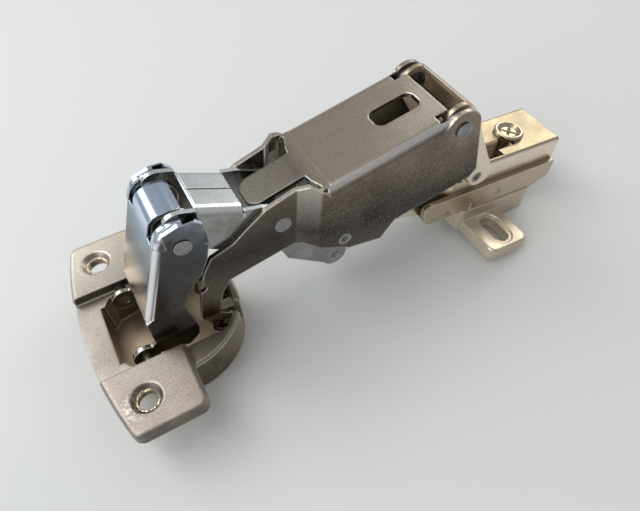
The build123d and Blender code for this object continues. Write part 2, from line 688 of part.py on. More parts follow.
# =====================================================================================
# Short link: a slim box with two flaps that meet in a seam on top.
# =====================================================================================
flap_angle = degrees(atan2(FLAP_REAR[1] - FLAP_FRONT[1], FLAP_REAR[0] - FLAP_FRONT[0]))
flap_length = hypot(FLAP_REAR[0] - FLAP_FRONT[0], FLAP_REAR[1] - FLAP_FRONT[1])
flap_start = Plane(
    origin=(FLAP_FRONT[0], 0, FLAP_FRONT[1]),
    x_dir=(0, 1, 0),
    z_dir=(cos(radians(flap_angle)), 0, sin(radians(flap_angle))),
)
with BuildPart() as short_link:
    flaps = channel_section(flap_start, SHORT_HALF, LINK_SHEET, FLAP_BEND + 1.5, FLAP_BEND)
    extrude(flaps, amount=flap_length)
    with BuildSketch(Plane.XY.offset(30.0)):
        with Locations(((FLAP_FRONT[0] + FLAP_REAR[0]) / 2, 0)):
            Rectangle(2 * FLAP_LENGTH, FLAP_SEAM)
    extrude(amount=12.0, mode=Mode.SUBTRACT)
    # Side walls: cap lobe with its raised horn, belly, and the arm-pivot lobe.
    flap_drop = FLAP_BEND / cos(radians(flap_angle))
    for side in (-1, 1):
        with BuildSketch(Plane.XZ.offset(side * short_inner_half)):
            with BuildLine():
                Polyline(
                    (FLAP_FRONT[0], FLAP_FRONT[1] - flap_drop),
                    (FLAP_REAR[0], FLAP_REAR[1] - flap_drop),
                    (FLAP_REAR[0], FLAP_REAR[1] - 0.5),
                    (FLAP_REAR[0] + 4.0, FLAP_REAR[1] - 1.2),
                    (FLAP_REAR[0] + 7.4, FLAP_REAR[1] - 2.6),
                    polar(SCISSOR, 4.3, 45),
                    polar(SCISSOR, 4.3, 30),
                    polar(ARM_FRONT, SHORT_LOBE, 38),
                    ARM_FRONT,
                    polar(ARM_FRONT, SHORT_LOBE, 210),
                    (-60.9, 13.2),
                    (-63.2, 17.9),
                    (-66.5, 19.4),
                    (-74.0, 22.6),
                    (-82.5, 28.0),
                    CAP_JOINT,
                    polar(CAP_JOINT, SHORT_CAP_LOBE, 127),
                )
                Spline(
                    polar(CAP_JOINT, SHORT_CAP_LOBE, 127),
                    polar(CAP_JOINT, 5.8, 112),
                    (FLAP_FRONT[0] - 4.0, FLAP_FRONT[1] + 1.1),
                )
                Polyline(
                    (FLAP_FRONT[0] - 4.0, FLAP_FRONT[1] + 1.1),
                    (FLAP_FRONT[0] - 0.4, FLAP_FRONT[1] + 0.2),
                    (FLAP_FRONT[0] - 0.4, FLAP_FRONT[1] - flap_drop),
                    (FLAP_FRONT[0], FLAP_FRONT[1] - flap_drop),
                )
            make_face()
            disc(CAP_JOINT, SHORT_CAP_LOBE)
            disc(ARM_FRONT, SHORT_LOBE)
            disc(SCISSOR, 4.3)
        extrude(amount=side * LINK_SHEET)
    # Cross web at the lower front.
    with BuildSketch(Plane.XZ):
        with BuildLine():
            Line((-62.5, 17.6), (-60.6, 13.8))
        trace(line_width=LINK_SHEET)
    extrude(amount=short_inner_half + 0.2, both=True)
    cut_hole(ARM_FRONT, PIN_RADIUS + PIN_FIT, SHORT_HALF)
    cut_hole(SCISSOR, SCISSOR_RADIUS + PIN_FIT, SHORT_HALF)
    cut_hole(CAP_JOINT, CAP_PIN_RADIUS + PIN_FIT, SHORT_HALF)
short_link.part.label = "short_link"
export_step(short_link.part, "parts/short_link.step")

# =====================================================================================
# Front link: a folded channel with bowed legs and a rolled, slotted cap.
# =====================================================================================
web_foot = cup_point(-5.35, 8.1)
foot_reach = hypot(CAP_JOINT[0] - web_foot[0], CAP_JOINT[1] - web_foot[1])
foot_bearing = degrees(atan2(CAP_JOINT[1] - web_foot[1], CAP_JOINT[0] - web_foot[0]))
web_angle = foot_bearing + degrees(atan2(CAP_RADIUS, sqrt(foot_reach**2 - CAP_RADIUS**2)))
web_length = sqrt(foot_reach**2 - CAP_RADIUS**2)
web_start = Plane(
    origin=(web_foot[0], 0, web_foot[1]),
    x_dir=(0, 1, 0),
    z_dir=(cos(radians(web_angle)), 0, sin(radians(web_angle))),
)
with BuildPart() as front_link:
    web = channel_section(web_start, FRONT_HALF, LINK_SHEET, 18.0, FRONT_BEND)
    extrude(web, amount=web_length)
    # Upper side walls, with the bowed rear edge.
    with BuildSketch(Plane.XZ):
        with BuildLine():
            front_shift = polar(web_foot, 3.0, web_angle + 90)
            Polyline(
                web_foot,
                front_shift,
                polar(front_shift, web_length, web_angle),
                polar(web_foot, web_length, web_angle),
                (-89.2, 36.5),
                (-85.6, 37.9),
                (-82.6, 38.0),
                (-80.7, 36.4),
                (-80.1, 33.5),
                (-80.1, 31.0),
                (-80.9, 26.4),
                (-82.7, 21.8),
                (-84.5, 19.7),
                (-86.6, 16.4),
                (-87.3, 13.8),
                (-87.2, 11.78),
                web_foot,
            )
        make_face()
    extrude(amount=FRONT_HALF + 1, both=True, mode=Mode.INTERSECT)
    for side in (-1, 1):
        # Top corner of the wall, behind the bend, and the leg down to the cup pivot.
        with BuildSketch(Plane.XZ.offset(side * front_inner_half)):
            Polygon(
                polar(web_foot, web_length - 0.6, web_angle - 6.5),
                (-89.2, 36.5),
                (-85.6, 37.9),
                (-82.6, 38.0),
                (-80.7, 36.4),
                (-80.1, 33.5),
                (-80.1, 31.0),
                (-86.0, 30.0),
                align=None,
            )
            Polygon(
                polar(web_foot, 2.2, web_angle - 45),
                web_foot,
                cup_point(-5.3, 0.5),
                cup_point(-10.3, -4.1),
                cup_front,
                (-88.3, -1.5),
                (-85.7, 1.1),
                (-85.4, 3.5),
                (-86.8, 10.3),
                (-87.2, 12.4),
                align=None,
            )
            disc(cup_front, FRONT_LOBE)
        extrude(amount=side * LINK_SHEET)
    # Rolled cap round the cap pin.
    cap_mid = CAP_RADIUS - LINK_SHEET / 2
    web_normal = web_angle + 90
    half_wrap = (web_normal - CAP_FLAT_ANGLE) / 2
    cap_corner = polar(CAP_JOINT, cap_mid / cos(radians(half_wrap)), CAP_FLAT_ANGLE + half_wrap)
    with BuildSketch(Plane.XZ):
        with BuildLine():
            FilletPolyline(
                polar(CAP_JOINT, cap_mid, web_normal),
                cap_corner,
                polar(CAP_JOINT, cap_mid, CAP_FLAT_ANGLE),
                radius=CAP_BEND,
            )
            CenterArc(CAP_JOINT, cap_mid, CAP_REAR_ANGLE, CAP_FLAT_ANGLE - CAP_REAR_ANGLE)
        trace(line_width=LINK_SHEET)
    extrude(amount=CAP_HALF, both=True)
    finger_trim = sector(CAP_JOINT, CAP_RADIUS + 2, CAP_RADIUS - 2, CAP_REAR_ANGLE - 8, FINGER_REAR_ANGLE)
    slot_ring = sector(CAP_JOINT, CAP_RADIUS + 2, CAP_RADIUS - 2, CAP_REAR_ANGLE - 8, SLOT_FRONT_ANGLE)
    finger_solid = extrude(finger_trim, amount=CAP_HALF + 1, both=True, mode=Mode.PRIVATE)
    slot_solid = extrude(slot_ring, amount=cap_slot_outer, both=True, mode=Mode.PRIVATE)
    middle_solid = extrude(slot_ring, amount=cap_slot_inner, both=True, mode=Mode.PRIVATE)
    add(finger_solid - middle_solid, mode=Mode.SUBTRACT)
    add(slot_solid - middle_solid, mode=Mode.SUBTRACT)
    cut_hole(CAP_JOINT, CAP_PIN_RADIUS, FRONT_HALF)
    cut_hole(cup_front, CUP_PIN_RADIUS + PIN_FIT, FRONT_HALF)
front_link.part.label = "front_link"
export_step(front_link.part, "parts/front_link.step")

# =====================================================================================
# Hinge cup: a cast cup with a flange of two screw ears and a sunk crescent.
# =====================================================================================
arc_centre = FLANGE_APEX + FLANGE_ARC
flange_reach = EAR_RIGHT - FLANGE_APEX
with BuildPart() as cup_ears:
    for side in (-1, 1):
        with BuildSketch(cup_plane.offset(-EAR_THICKNESS)) as ear:
            with Locations((arc_centre, 0)):
                Circle(FLANGE_ARC)
            with Locations((EAR_RIGHT, side * EAR_INNER)):
                Rectangle(
                    flange_reach + 1,
                    EAR_SPAN / 2 - EAR_INNER,
                    align=(Align.MAX, Align.MIN if side > 0 else Align.MAX),
                    mode=Mode.INTERSECT,
                )
            outer_corners = ear.vertices().group_by(Axis.Y)[-1 if side > 0 else 0]
            fillet(outer_corners, EAR_CORNER)
        extrude(amount=EAR_THICKNESS)
    cup_axis = Axis(cup_plane.origin, cup_plane.z_dir)
    ear_tops = cup_ears.faces().sort_by(cup_axis)[-2:]
    outer_edges = ear_tops.edges().filter_by(lambda e: abs(abs(e.center().Y) - EAR_INNER) > 0.1)
    fillet(outer_edges, EAR_ROUNDING)

with BuildPart() as hinge_cup:
    with BuildSketch(cup_plane.offset(CUP_BOTTOM)):
        Circle(CUP_RADIUS)
    extrude(amount=-EAR_THICKNESS - CUP_BOTTOM)
    with BuildSketch(cup_plane.offset(-EAR_THICKNESS)):
        Circle(CUP_RADIUS - RIM_STEP)
    extrude(amount=EAR_THICKNESS + RIM_TOP)
    bottom_edge = hinge_cup.edges().filter_by(GeomType.CIRCLE).sort_by(Axis.Z)[0]
    chamfer(bottom_edge, 0.8)
    # Flange: the crescent between the ears, then the ears themselves.
    with BuildSketch(cup_plane.offset(-EAR_THICKNESS)) as crescent:
        with Locations((arc_centre, 0)):
            Circle(FLANGE_ARC)
        with Locations((FLANGE_APEX, 0)):
            Rectangle(-FLANGE_APEX, 2 * EAR_INNER + 0.4, align=(Align.MIN, Align.CENTER), mode=Mode.INTERSECT)
    extrude(amount=EAR_THICKNESS + RIM_TOP)
    add(cup_ears.part)
    # Screw holes, countersunk.
    with Locations(cup_plane):
        with Locations((EAR_HOLE_U, EAR_HOLE_PITCH / 2), (EAR_HOLE_U, -EAR_HOLE_PITCH / 2)):
            CounterSinkHole(EAR_HOLE_RADIUS, EAR_SINK_RADIUS, depth=EAR_THICKNESS)
    # Pocket.
    with BuildSketch(cup_plane.offset(CUP_FLOOR)):
        Circle(POCKET_RADIUS)
        Rectangle(-POCKET_FRONT, 2 * 8.7, align=(Align.MAX, Align.CENTER))
        Polygon(
            (POCKET_FRONT, -8.7),
            (POCKET_FRONT, 8.7),
            (-12.2, 10.6),
            (-4.0, 12.0),
            (6.0, 12.0),
            (20.0, 12.0),
            (20.0, -12.0),
            (6.0, -12.0),
            (-4.0, -12.0),
            (-12.2, -10.6),
            align=None,
            mode=Mode.INTERSECT,
        )
    extrude(amount=-CUP_FLOOR + 1, mode=Mode.SUBTRACT)
    # Lugs between the hooked legs, for the rear pivot.
    with BuildSketch(cup_plane.offset(CUP_FLOOR)):
        for side in (-1, 1):
            with Locations((CUP_REAR[0], side * (lug_half - LUG_WIDTH / 2))):
                Rectangle(LUG_LENGTH, LUG_WIDTH)
    extrude(amount=LUG_TOP - CUP_FLOOR)
    # Notches in the rim for the hooked legs.
    notch_middle = (RIM_NOTCH[0] + RIM_NOTCH[1]) / 2
    with BuildSketch(cup_plane.offset(RIM_NOTCH_FLOOR)):
        with Locations((10.0, notch_middle), (10.0, -notch_middle)):
            Rectangle(10.0, RIM_NOTCH[1] - RIM_NOTCH[0], align=(Align.MIN, Align.CENTER))
    extrude(amount=12.0, mode=Mode.SUBTRACT)
    cut_hole(cup_rear, CUP_PIN_RADIUS, lug_half)
    cut_hole(cup_front, CUP_PIN_RADIUS, STUB_HALF[1] - 1)
hinge_cup.part.label = "hinge_cup"
export_step(hinge_cup.part, "parts/hinge_cup.step")

# =====================================================================================
# Pins, rivets and washers.
# =====================================================================================
with BuildPart() as arm_front_pin:
    cross_pin(ARM_FRONT, PIN_RADIUS, SHORT_HALF, dimple=0.6)
arm_front_pin.part.label = "arm_front_pin"
export_step(arm_front_pin.part, "parts/arm_front_pin.step")

with BuildPart() as arm_rear_pin:
    cross_pin(ARM_REAR, PIN_RADIUS, REAR_HALF, dimple=0.9)
arm_rear_pin.part.label = "arm_rear_pin"
export_step(arm_rear_pin.part, "parts/arm_rear_pin.step")

with BuildPart() as rear_joint_pin:
    cross_pin(REAR_JOINT, PIN_RADIUS, OUTER_HALF, HEAD_RADIUS, HEAD_HEIGHT)
rear_joint_pin.part.label = "rear_joint_pin"
export_step(rear_joint_pin.part, "parts/rear_joint_pin.step")

with BuildPart() as scissor_pin:
    cross_pin(SCISSOR, SCISSOR_RADIUS, LEG_HALF)
scissor_pin.part.label = "scissor_pin"
export_step(scissor_pin.part, "parts/scissor_pin.step")

with BuildPart() as cap_pin:
    cross_pin(CAP_JOINT, CAP_PIN_RADIUS, FRONT_HALF, HEAD_RADIUS - 0.1, 0.3)
cap_pin.part.label = "cap_pin"
export_step(cap_pin.part, "parts/cap_pin.step")

with BuildPart() as cup_rear_pin:
    cross_pin(cup_rear, CUP_PIN_RADIUS, LEG_LOW_HALF + 0.2, dimple=0.6)
cup_rear_pin.part.label = "cup_rear_pin"
export_step(cup_rear_pin.part, "parts/cup_rear_pin.step")

with BuildPart() as cup_front_pins:
    for side in (-1, 1):
        with BuildSketch(Plane.XZ.offset(side * STUB_HALF[0])):
            disc(cup_front, CUP_PIN_RADIUS)
        extrude(amount=side * (STUB_HALF[1] - STUB_HALF[0]))
cup_front_pins.part.label = "cup_front_pins"
export_step(cup_front_pins.part, "parts/cup_front_pins.step")

with BuildPart() as guide_rivets:
    for side in (-1, 1):
        with BuildSketch(Plane.XZ.offset(side * (outer_inner_half - 0.3))):
            disc(GUIDE_AT, GUIDE_RADIUS)
        extrude(amount=side * (OUTER_SHEET + 0.3))
        with BuildSketch(Plane.XZ.offset(side * OUTER_HALF)):
            disc(GUIDE_AT, GUIDE_DIMPLE)
        extrude(amount=-side * 0.5, mode=Mode.SUBTRACT)
guide_rivets.part.label = "guide_rivets"
export_step(guide_rivets.part, "parts/guide_rivets.step")

with BuildPart() as rear_joint_washers:
    for side in (-1, 1):
        with BuildSketch(Plane.XZ.offset(side * (REAR_HALF + SIDE_GAP))):
            disc(REAR_JOINT, WASHER_RADIUS)
            disc(REAR_JOINT, PIN_RADIUS, Mode.SUBTRACT)
        extrude(amount=side * WASHER_THICKNESS)
rear_joint_washers.part.label = "rear_joint_washers"
export_step(rear_joint_washers.part, "parts/rear_joint_washers.step")

# =====================================================================================
# Closing spring: a wire coil round the rear arm pin, between the walls of the arm.
# =====================================================================================
with BuildPart() as closing_spring:
    coil_length = SPRING_TURNS * SPRING_PITCH
    with BuildLine() as coil:
        Helix(
            SPRING_PITCH,
            coil_length,
            SPRING_RADIUS,
            center=(ARM_REAR[0], -coil_length / 2, ARM_REAR[1]),
            direction=(0, 1, 0),
        )
    with BuildSketch(Plane(origin=coil.line @ 0, z_dir=coil.line % 0)):
        RegularPolygon(WIRE_RADIUS, 6)
    sweep(path=coil.line)
closing_spring.part.label = "closing_spring"
export_step(closing_spring.part, "parts/closing_spring.step")
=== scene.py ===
"""Looks of a concealed cup hinge: finishes, small fittings, floor, lamps and camera."""

import logging
import math
from dataclasses import dataclass, field, replace
from enum import Enum

import bpy
from mathutils import Matrix, Vector

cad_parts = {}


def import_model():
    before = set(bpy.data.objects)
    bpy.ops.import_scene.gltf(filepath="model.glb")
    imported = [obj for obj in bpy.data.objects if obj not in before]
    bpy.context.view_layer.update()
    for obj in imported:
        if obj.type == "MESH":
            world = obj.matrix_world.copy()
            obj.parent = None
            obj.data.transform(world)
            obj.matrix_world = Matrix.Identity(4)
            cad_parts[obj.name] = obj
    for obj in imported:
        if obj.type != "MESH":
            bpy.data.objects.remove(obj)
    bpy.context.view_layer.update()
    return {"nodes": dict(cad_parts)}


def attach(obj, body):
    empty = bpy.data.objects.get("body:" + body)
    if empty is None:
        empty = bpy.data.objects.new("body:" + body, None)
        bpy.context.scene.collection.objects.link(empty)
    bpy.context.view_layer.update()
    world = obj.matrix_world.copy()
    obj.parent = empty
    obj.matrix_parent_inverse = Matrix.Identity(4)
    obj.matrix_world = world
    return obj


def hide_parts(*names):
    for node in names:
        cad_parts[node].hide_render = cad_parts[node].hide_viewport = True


log = logging.getLogger("hinge")

Colour = tuple[float, float, float]
Point = tuple[float, float, float]
Socket = bpy.types.NodeSocket

MM = 0.001

# Sockets of Blender's colour mix node.
MIX_SHARE, MIX_UNDER, MIX_OVER, MIX_RESULT = 0, 6, 7, 2

# Dark dots of a satin plating, and bright dots that are painted glints.
SOOT = (0.04, 0.035, 0.03)
GLINT = (0.97, 0.95, 0.92)
SOOT_DOTS = (0.52, 0.64)
GLINT_DOTS = (0.45, 0.33)
DOT_GROWTH = 1.4
GLINT_SHARE = 0.6

# Noise values between which clouds, patches and flakes go from none to full.
CLOUD_SPAN = (0.38, 0.66)
PATCH_SPAN = (0.30, 0.68)
WALL_SPAN = (0.30, 0.70)
WALL_LEAST = 0.75
FLAKE_SPAN = (0.50, 0.56)
GRAIN_SPAN = (0.35, 0.60)
GRAIN_LEAST = 0.55
ROUGH_SPAN = (0.70, 1.30)

# How far a face's normal turns across the hinge, from flat on top (0) to a wall (1).
# These mask the painted shade and light on the walls and the painted highlight on the bends.
WALL_TURN = (0.35, 0.95)
BEND_RISE = (0.12, 0.40)
BEND_FALL = (0.93, 0.72)

# Cosines of the turn between true and rounded normals, from clean face to an edge that is worn and has a
# painted highlight.
EDGE_TURN = (0.995, 0.90)

# Scratches run along the hinge: this is how much their noise is stretched.
SCRATCH_STRETCH = (0.06, 1.0, 1.0)

# A nick's flaky bright spot, chipped plating with a painted warm reflection, is whole within this share of
# its reach, and this opaque.
SPOT_CORE = 0.4
SPOT_COVER = 0.85

# Shading angles in degrees.
SMALL_PIECE_ANGLE = 50.0
BURR_ANGLE = 60.0

# Points nearer to each other, or to a plane, than this count as one or as on it, in metres.
MERGE_GAP = 1e-6
PLANE_GAP = 1e-5

# How far a cutting bar stands out of what it cuts, in all, in millimetres.
CLEAR = 2.0

# Directions for tones. The cup's face lies CUP_LEVEL millimetres before the shared origin along
# CUP_DOWN, and is tilted by CUP_TILT degrees.
CUP_DOWN = (0.0919, 0.0, -0.9958)
CUP_LEVEL = 12.5
CUP_TILT = 5.27
DOWN = (0.0, 0.0, -1.0)
FORWARD = (-1.0, 0.0, 0.0)
FAR_SIDE = (0.0, 1.0, 0.0)


def in_metres(point: Point) -> Point:
    """Returns a point or size given in millimetres in metres."""
    return tuple(value * MM for value in point)


class Body(Enum):
    """The moving groups that new pieces ride on."""

    SHORT_LINK = "short_link"
    OUTER_LINK = "outer_link"
    FRONT_LINK = "front_link"
    CUP = "cup"


class Slot(Enum):
    """The record's material slots."""

    CAST = "cast_nickel"
    SHEET = "sheet_nickel"
    BRIGHT = "bright_nickel"


@dataclass
class NodeBench:
    """Short calls for adding and joining shader nodes in one tree."""

    tree: bpy.types.NodeTree

    def node(self, kind: str, **settings: object) -> bpy.types.Node:
        """Adds a node and sets its attributes.

        Args:
            kind: Blender's node type name.
            settings: Attributes to set on the node.

        Returns:
            The new node.
        """
        made = self.tree.nodes.new(kind)
        for key, value in settings.items():
            setattr(made, key, value)
        return made

    def link(self, start: Socket, end: Socket) -> None:
        """Joins two sockets."""
        self.tree.links.new(start, end)

    def noise(self, vector: Socket, size_mm: float, detail: float, rough: float) -> Socket:
        """Adds a noise whose features are about size_mm across.

        Args:
            vector: Where the noise is read.
            size_mm: Feature size in millimetres.
            detail: Number of finer layers.
            rough: How strong the finer layers are.

        Returns:
            The noise value socket.
        """
        made = self.node("ShaderNodeTexNoise")
        made.inputs["Scale"].default_value = 1.0 / (size_mm * MM)
        made.inputs["Detail"].default_value = detail
        made.inputs["Roughness"].default_value = rough
        self.link(vector, made.inputs["Vector"])
        return made.outputs["Fac"]

    def ramp(self, value: Socket, low: float, high: float) -> Socket:
        """Stretches a value so that low gives 0 and high gives 1."""
        return self.map_range(value, low, high, 0.0, 1.0)

    def map_range(self, value: Socket, low: float, high: float, to_low: float, to_high: float) -> Socket:
        """Maps a value from one range to another, clamped.

        Args:
            value: The value socket.
            low: Input that gives to_low.
            high: Input that gives to_high.
            to_low: First output.
            to_high: Second output.

        Returns:
            The mapped value socket.
        """
        made = self.node("ShaderNodeMapRange")
        for name, number in (
            ("From Min", low),
            ("From Max", high),
            ("To Min", to_low),
            ("To Max", to_high),
        ):
            made.inputs[name].default_value = number
        self.link(value, made.inputs["Value"])
        return made.outputs["Result"]

    def add(self, first: Socket, second: Socket) -> Socket:
        """Adds two values."""
        return self._reckon("ADD", first, second)

    def multiply(self, first: Socket, second: Socket) -> Socket:
        """Multiplies two values."""
        return self._reckon("MULTIPLY", first, second)

    def _reckon(self, operation: str, first: Socket, second: Socket) -> Socket:
        """Joins two values by one sum.

        Args:
            operation: Blender's name of the sum.
            first: First value socket.
            second: Second value socket.

        Returns:
            The result's socket.
        """
        made = self.node("ShaderNodeMath", operation=operation)
        self.link(first, made.inputs[0])
        self.link(second, made.inputs[1])
        return made.outputs["Value"]

    def mix_colour(self, share: Socket, first: Colour, second: Colour) -> Socket:
        """Mixes two fixed colours.

        Args:
            share: How much of the second colour shows.
            first: Colour at 0.
            second: Colour at 1.

        Returns:
            The mixed colour socket.
        """
        made = self.node("ShaderNodeMix", data_type="RGBA")
        made.inputs[MIX_UNDER].default_value = (*first, 1.0)
        made.inputs[MIX_OVER].default_value = (*second, 1.0)
        self.link(share, made.inputs[MIX_SHARE])
        return made.outputs[MIX_RESULT]

    def lay_over(self, share: Socket, under: Socket, over: Colour, strength: float = 1.0) -> Socket:
        """Lays a fixed colour over a coloured socket.

        Args:
            share: Mask of the colour laid over.
            under: Colour socket beneath.
            over: The colour laid over.
            strength: Most that the colour covers.

        Returns:
            The mixed colour socket.
        """
        mask = self.map_range(share, 0.0, 1.0, 0.0, strength)
        made = self.node("ShaderNodeMix", data_type="RGBA")
        made.inputs[MIX_OVER].default_value = (*over, 1.0)
        self.link(mask, made.inputs[MIX_SHARE])
        self.link(under, made.inputs[MIX_UNDER])
        return made.outputs[MIX_RESULT]

    def bump(self, height: Socket, depth_mm: float, normal: Socket) -> Socket:
        """Adds a bump on top of a normal.

        Args:
            height: Height socket from 0 to 1.
            depth_mm: Depth of the relief in millimetres.
            normal: The normal beneath.

        Returns:
            The bumped normal socket.
        """
        made = self.node("ShaderNodeBump")
        made.inputs["Strength"].default_value = 1.0
        made.inputs["Distance"].default_value = depth_mm * MM
        self.link(height, made.inputs["Height"])
        self.link(normal, made.inputs["Normal"])
        return made.outputs["Normal"]


@dataclass(frozen=True)
class Tone:
    """A colour painted in for light, shade and reflections, that takes over on one side of a plane, in
    millimetres along a direction.
    """

    colour: Colour
    direction: Point
    start: float
    end: float
    patchy: float


@dataclass(frozen=True)
class NickAndSheen:
    """A flaky bright spot at a point in millimetres: chipped plating with a painted warm reflection."""

    point: Point
    reach: float
    colour: Colour
    flake_size: float


@dataclass(frozen=True)
class NickelFinish:
    """A plated metal finish with grain, clouding, fine scratches and worn edges, and with painted light:
    glints, edge and bend highlights, wall shade and tones.

    Sizes of the patterns are in millimetres. Tones, painted light and shade, lie under the painted wall
    colour, and low tones over it.
    """

    name: str
    base: Colour
    cloud: Colour
    # Colour of the worn edges with their painted highlight, and of the painted highlight on the bends.
    edge: Colour
    rough_low: float
    rough_high: float
    grain_size: float = 0.35
    grain_depth: float = 0.004
    cloud_size: float = 9.0
    scratch_size: float = 0.5
    scratch_depth: float = 0.002
    edge_radius: float = 0.30
    # How much the edges are worn and given a painted highlight.
    edge_wear_and_highlight_share: float = 0.55
    # How much painted highlight the bends get.
    bend_highlight_share: float = 0.0
    # Strength of the dark dots and of the painted glints.
    speckle: float = 0.0
    # Colour painted on the faces across the hinge: shade where it is darker than the base, light where it
    # is lighter.
    wall: Colour | None = None
    # Colours painted in for light, shade and reflections, under the wall colour.
    tones: tuple[Tone, ...] = ()
    # Painted light and shade laid over the wall colour.
    low_tones: tuple[Tone, ...] = ()
    # Flaky bright spots: chipped plating with a painted warm reflection.
    nicks_and_sheen: tuple[NickAndSheen, ...] = ()

    def make(self) -> bpy.types.Material:
        """Builds the finish as a node material.

        Returns:
            The new material, read in Object coordinates.
        """
        material = bpy.data.materials.new(self.name)
        material.use_nodes = True
        tree = material.node_tree
        tree.nodes.clear()
        bench = NodeBench(tree)
        out = bench.node("ShaderNodeOutputMaterial")
        shader = bench.node("ShaderNodeBsdfPrincipled")
        shader.inputs["Metallic"].default_value = 1.0
        bench.link(shader.outputs["BSDF"], out.inputs["Surface"])
        texture = bench.node("ShaderNodeTexCoord")
        where = texture.outputs["Object"]

        clouds = bench.noise(where, self.cloud_size, detail=4.0, rough=0.6)
        grain = bench.noise(where, self.grain_size, detail=3.0, rough=0.55)
        lines = bench.node("ShaderNodeMapping")
        lines.inputs["Scale"].default_value = SCRATCH_STRETCH
        bench.link(where, lines.inputs["Vector"])
        scratch = bench.noise(lines.outputs["Vector"], self.scratch_size, detail=2.0, rough=0.5)

        tint = bench.mix_colour(bench.ramp(clouds, *CLOUD_SPAN), self.base, self.cloud)
        # Painted light and shade: tones, wall colour with bend highlights, low tones, then glints among the
        # dots.
        for tone in self.tones:
            tint = self._lay_tone(bench, where, clouds, tint, tone)
        if self.wall is not None:
            tint = self._paint_wall_light_and_shade(bench, texture.outputs["Normal"], clouds, tint)
        for tone in self.low_tones:
            tint = self._lay_tone(bench, where, clouds, tint, tone)
        if self.speckle > 0:
            tint = self._speckle(bench, where, tint)

        rounded = bench.node("ShaderNodeBevel", samples=4)
        rounded.inputs["Radius"].default_value = self.edge_radius * MM
        # Worn edges with a painted highlight.
        tint = self._wear_and_highlight_edges(bench, rounded.outputs["Normal"], grain, tint)
        # Flaky bright spots: chipped plating with a painted warm reflection.
        for nick_and_sheen in self.nicks_and_sheen:
            tint = self._paint_nick_and_sheen(bench, where, tint, nick_and_sheen)
        bench.link(tint, shader.inputs["Base Color"])

        rough = bench.map_range(bench.add(grain, clouds), *ROUGH_SPAN, self.rough_low, self.rough_high)
        bench.link(rough, shader.inputs["Roughness"])

        bump = bench.bump(grain, self.grain_depth, rounded.outputs["Normal"])
        bump = bench.bump(scratch, self.scratch_depth, bump)
        bench.link(bump, shader.inputs["Normal"])
        return material

    def _paint_wall_light_and_shade(self, bench: NodeBench, normal: Socket, clouds: Socket, tint: Socket) -> Socket:
        """Paints the wall colour on the faces that look across the hinge as painted shade (painted light
        where it is lighter than the base), and paints highlights on the bends.

        Args:
            bench: The bench of the material's tree.
            normal: The surface normal in Object coordinates.
            clouds: Noise that makes the painted wall colour uneven.
            tint: Colour socket beneath.

        Returns:
            The new colour socket.
        """
        split = bench.node("ShaderNodeSeparateXYZ")
        bench.link(normal, split.inputs["Vector"])
        across = bench.node("ShaderNodeMath", operation="ABSOLUTE")
        bench.link(split.outputs["Y"], across.inputs[0])
        turn = across.outputs["Value"]
        uneven = bench.map_range(clouds, *WALL_SPAN, WALL_LEAST, 1.0)
        share = bench.multiply(bench.ramp(turn, *WALL_TURN), uneven)
        tint = bench.lay_over(share, tint, self.wall)
        if self.bend_highlight_share == 0:
            return tint
        bend = bench.multiply(bench.ramp(turn, *BEND_RISE), bench.ramp(turn, *BEND_FALL))
        return bench.lay_over(bend, tint, self.edge, self.bend_highlight_share)

    @staticmethod
    def _lay_tone(bench: NodeBench, where: Socket, clouds: Socket, tint: Socket, tone: Tone) -> Socket:
        """Lays one painted tone of light and shade beyond its plane.

        Args:
            bench: The bench of the material's tree.
            where: Object coordinates.
            clouds: Noise that makes the tone patchy.
            tint: Colour socket beneath.
            tone: The tone to lay.

        Returns:
            The new colour socket.
        """
        depth = bench.node("ShaderNodeVectorMath", operation="DOT_PRODUCT")
        depth.inputs[1].default_value = tone.direction
        bench.link(where, depth.inputs[0])
        share = bench.ramp(depth.outputs["Value"], tone.start * MM, tone.end * MM)
        patches = bench.map_range(clouds, *PATCH_SPAN, 1.0 - tone.patchy, 1.0)
        return bench.lay_over(bench.multiply(share, patches), tint, tone.colour)

    def _speckle(self, bench: NodeBench, where: Socket, tint: Socket) -> Socket:
        """Adds the fine dark dots of a satin plating and bright dots that are painted glints.

        Args:
            bench: The bench of the material's tree.
            where: Object coordinates.
            tint: Colour socket beneath.

        Returns:
            The new colour socket.
        """
        dots = bench.noise(where, self.grain_size * DOT_GROWTH, detail=2.0, rough=0.5)
        tint = bench.lay_over(bench.ramp(dots, *SOOT_DOTS), tint, SOOT, self.speckle)
        return bench.lay_over(bench.ramp(dots, *GLINT_DOTS), tint, GLINT, self.speckle * GLINT_SHARE)

    def _wear_and_highlight_edges(self, bench: NodeBench, rounded: Socket, grain: Socket, tint: Socket) -> Socket:
        """Brightens the edges, unevenly, where plating wears smooth, and with a painted highlight.

        Args:
            bench: The bench of the material's tree.
            rounded: The normal rounded at the edges.
            grain: Noise that makes the wear and the painted highlight uneven.
            tint: Colour socket beneath.

        Returns:
            The new colour socket.
        """
        geometry = bench.node("ShaderNodeNewGeometry")
        turn = bench.node("ShaderNodeVectorMath", operation="DOT_PRODUCT")
        bench.link(rounded, turn.inputs[0])
        bench.link(geometry.outputs["Normal"], turn.inputs[1])
        mask = bench.map_range(turn.outputs["Value"], *EDGE_TURN, 0.0, self.edge_wear_and_highlight_share)
        uneven = bench.map_range(grain, *GRAIN_SPAN, GRAIN_LEAST, 1.0)
        return bench.lay_over(bench.multiply(mask, uneven), tint, self.edge)

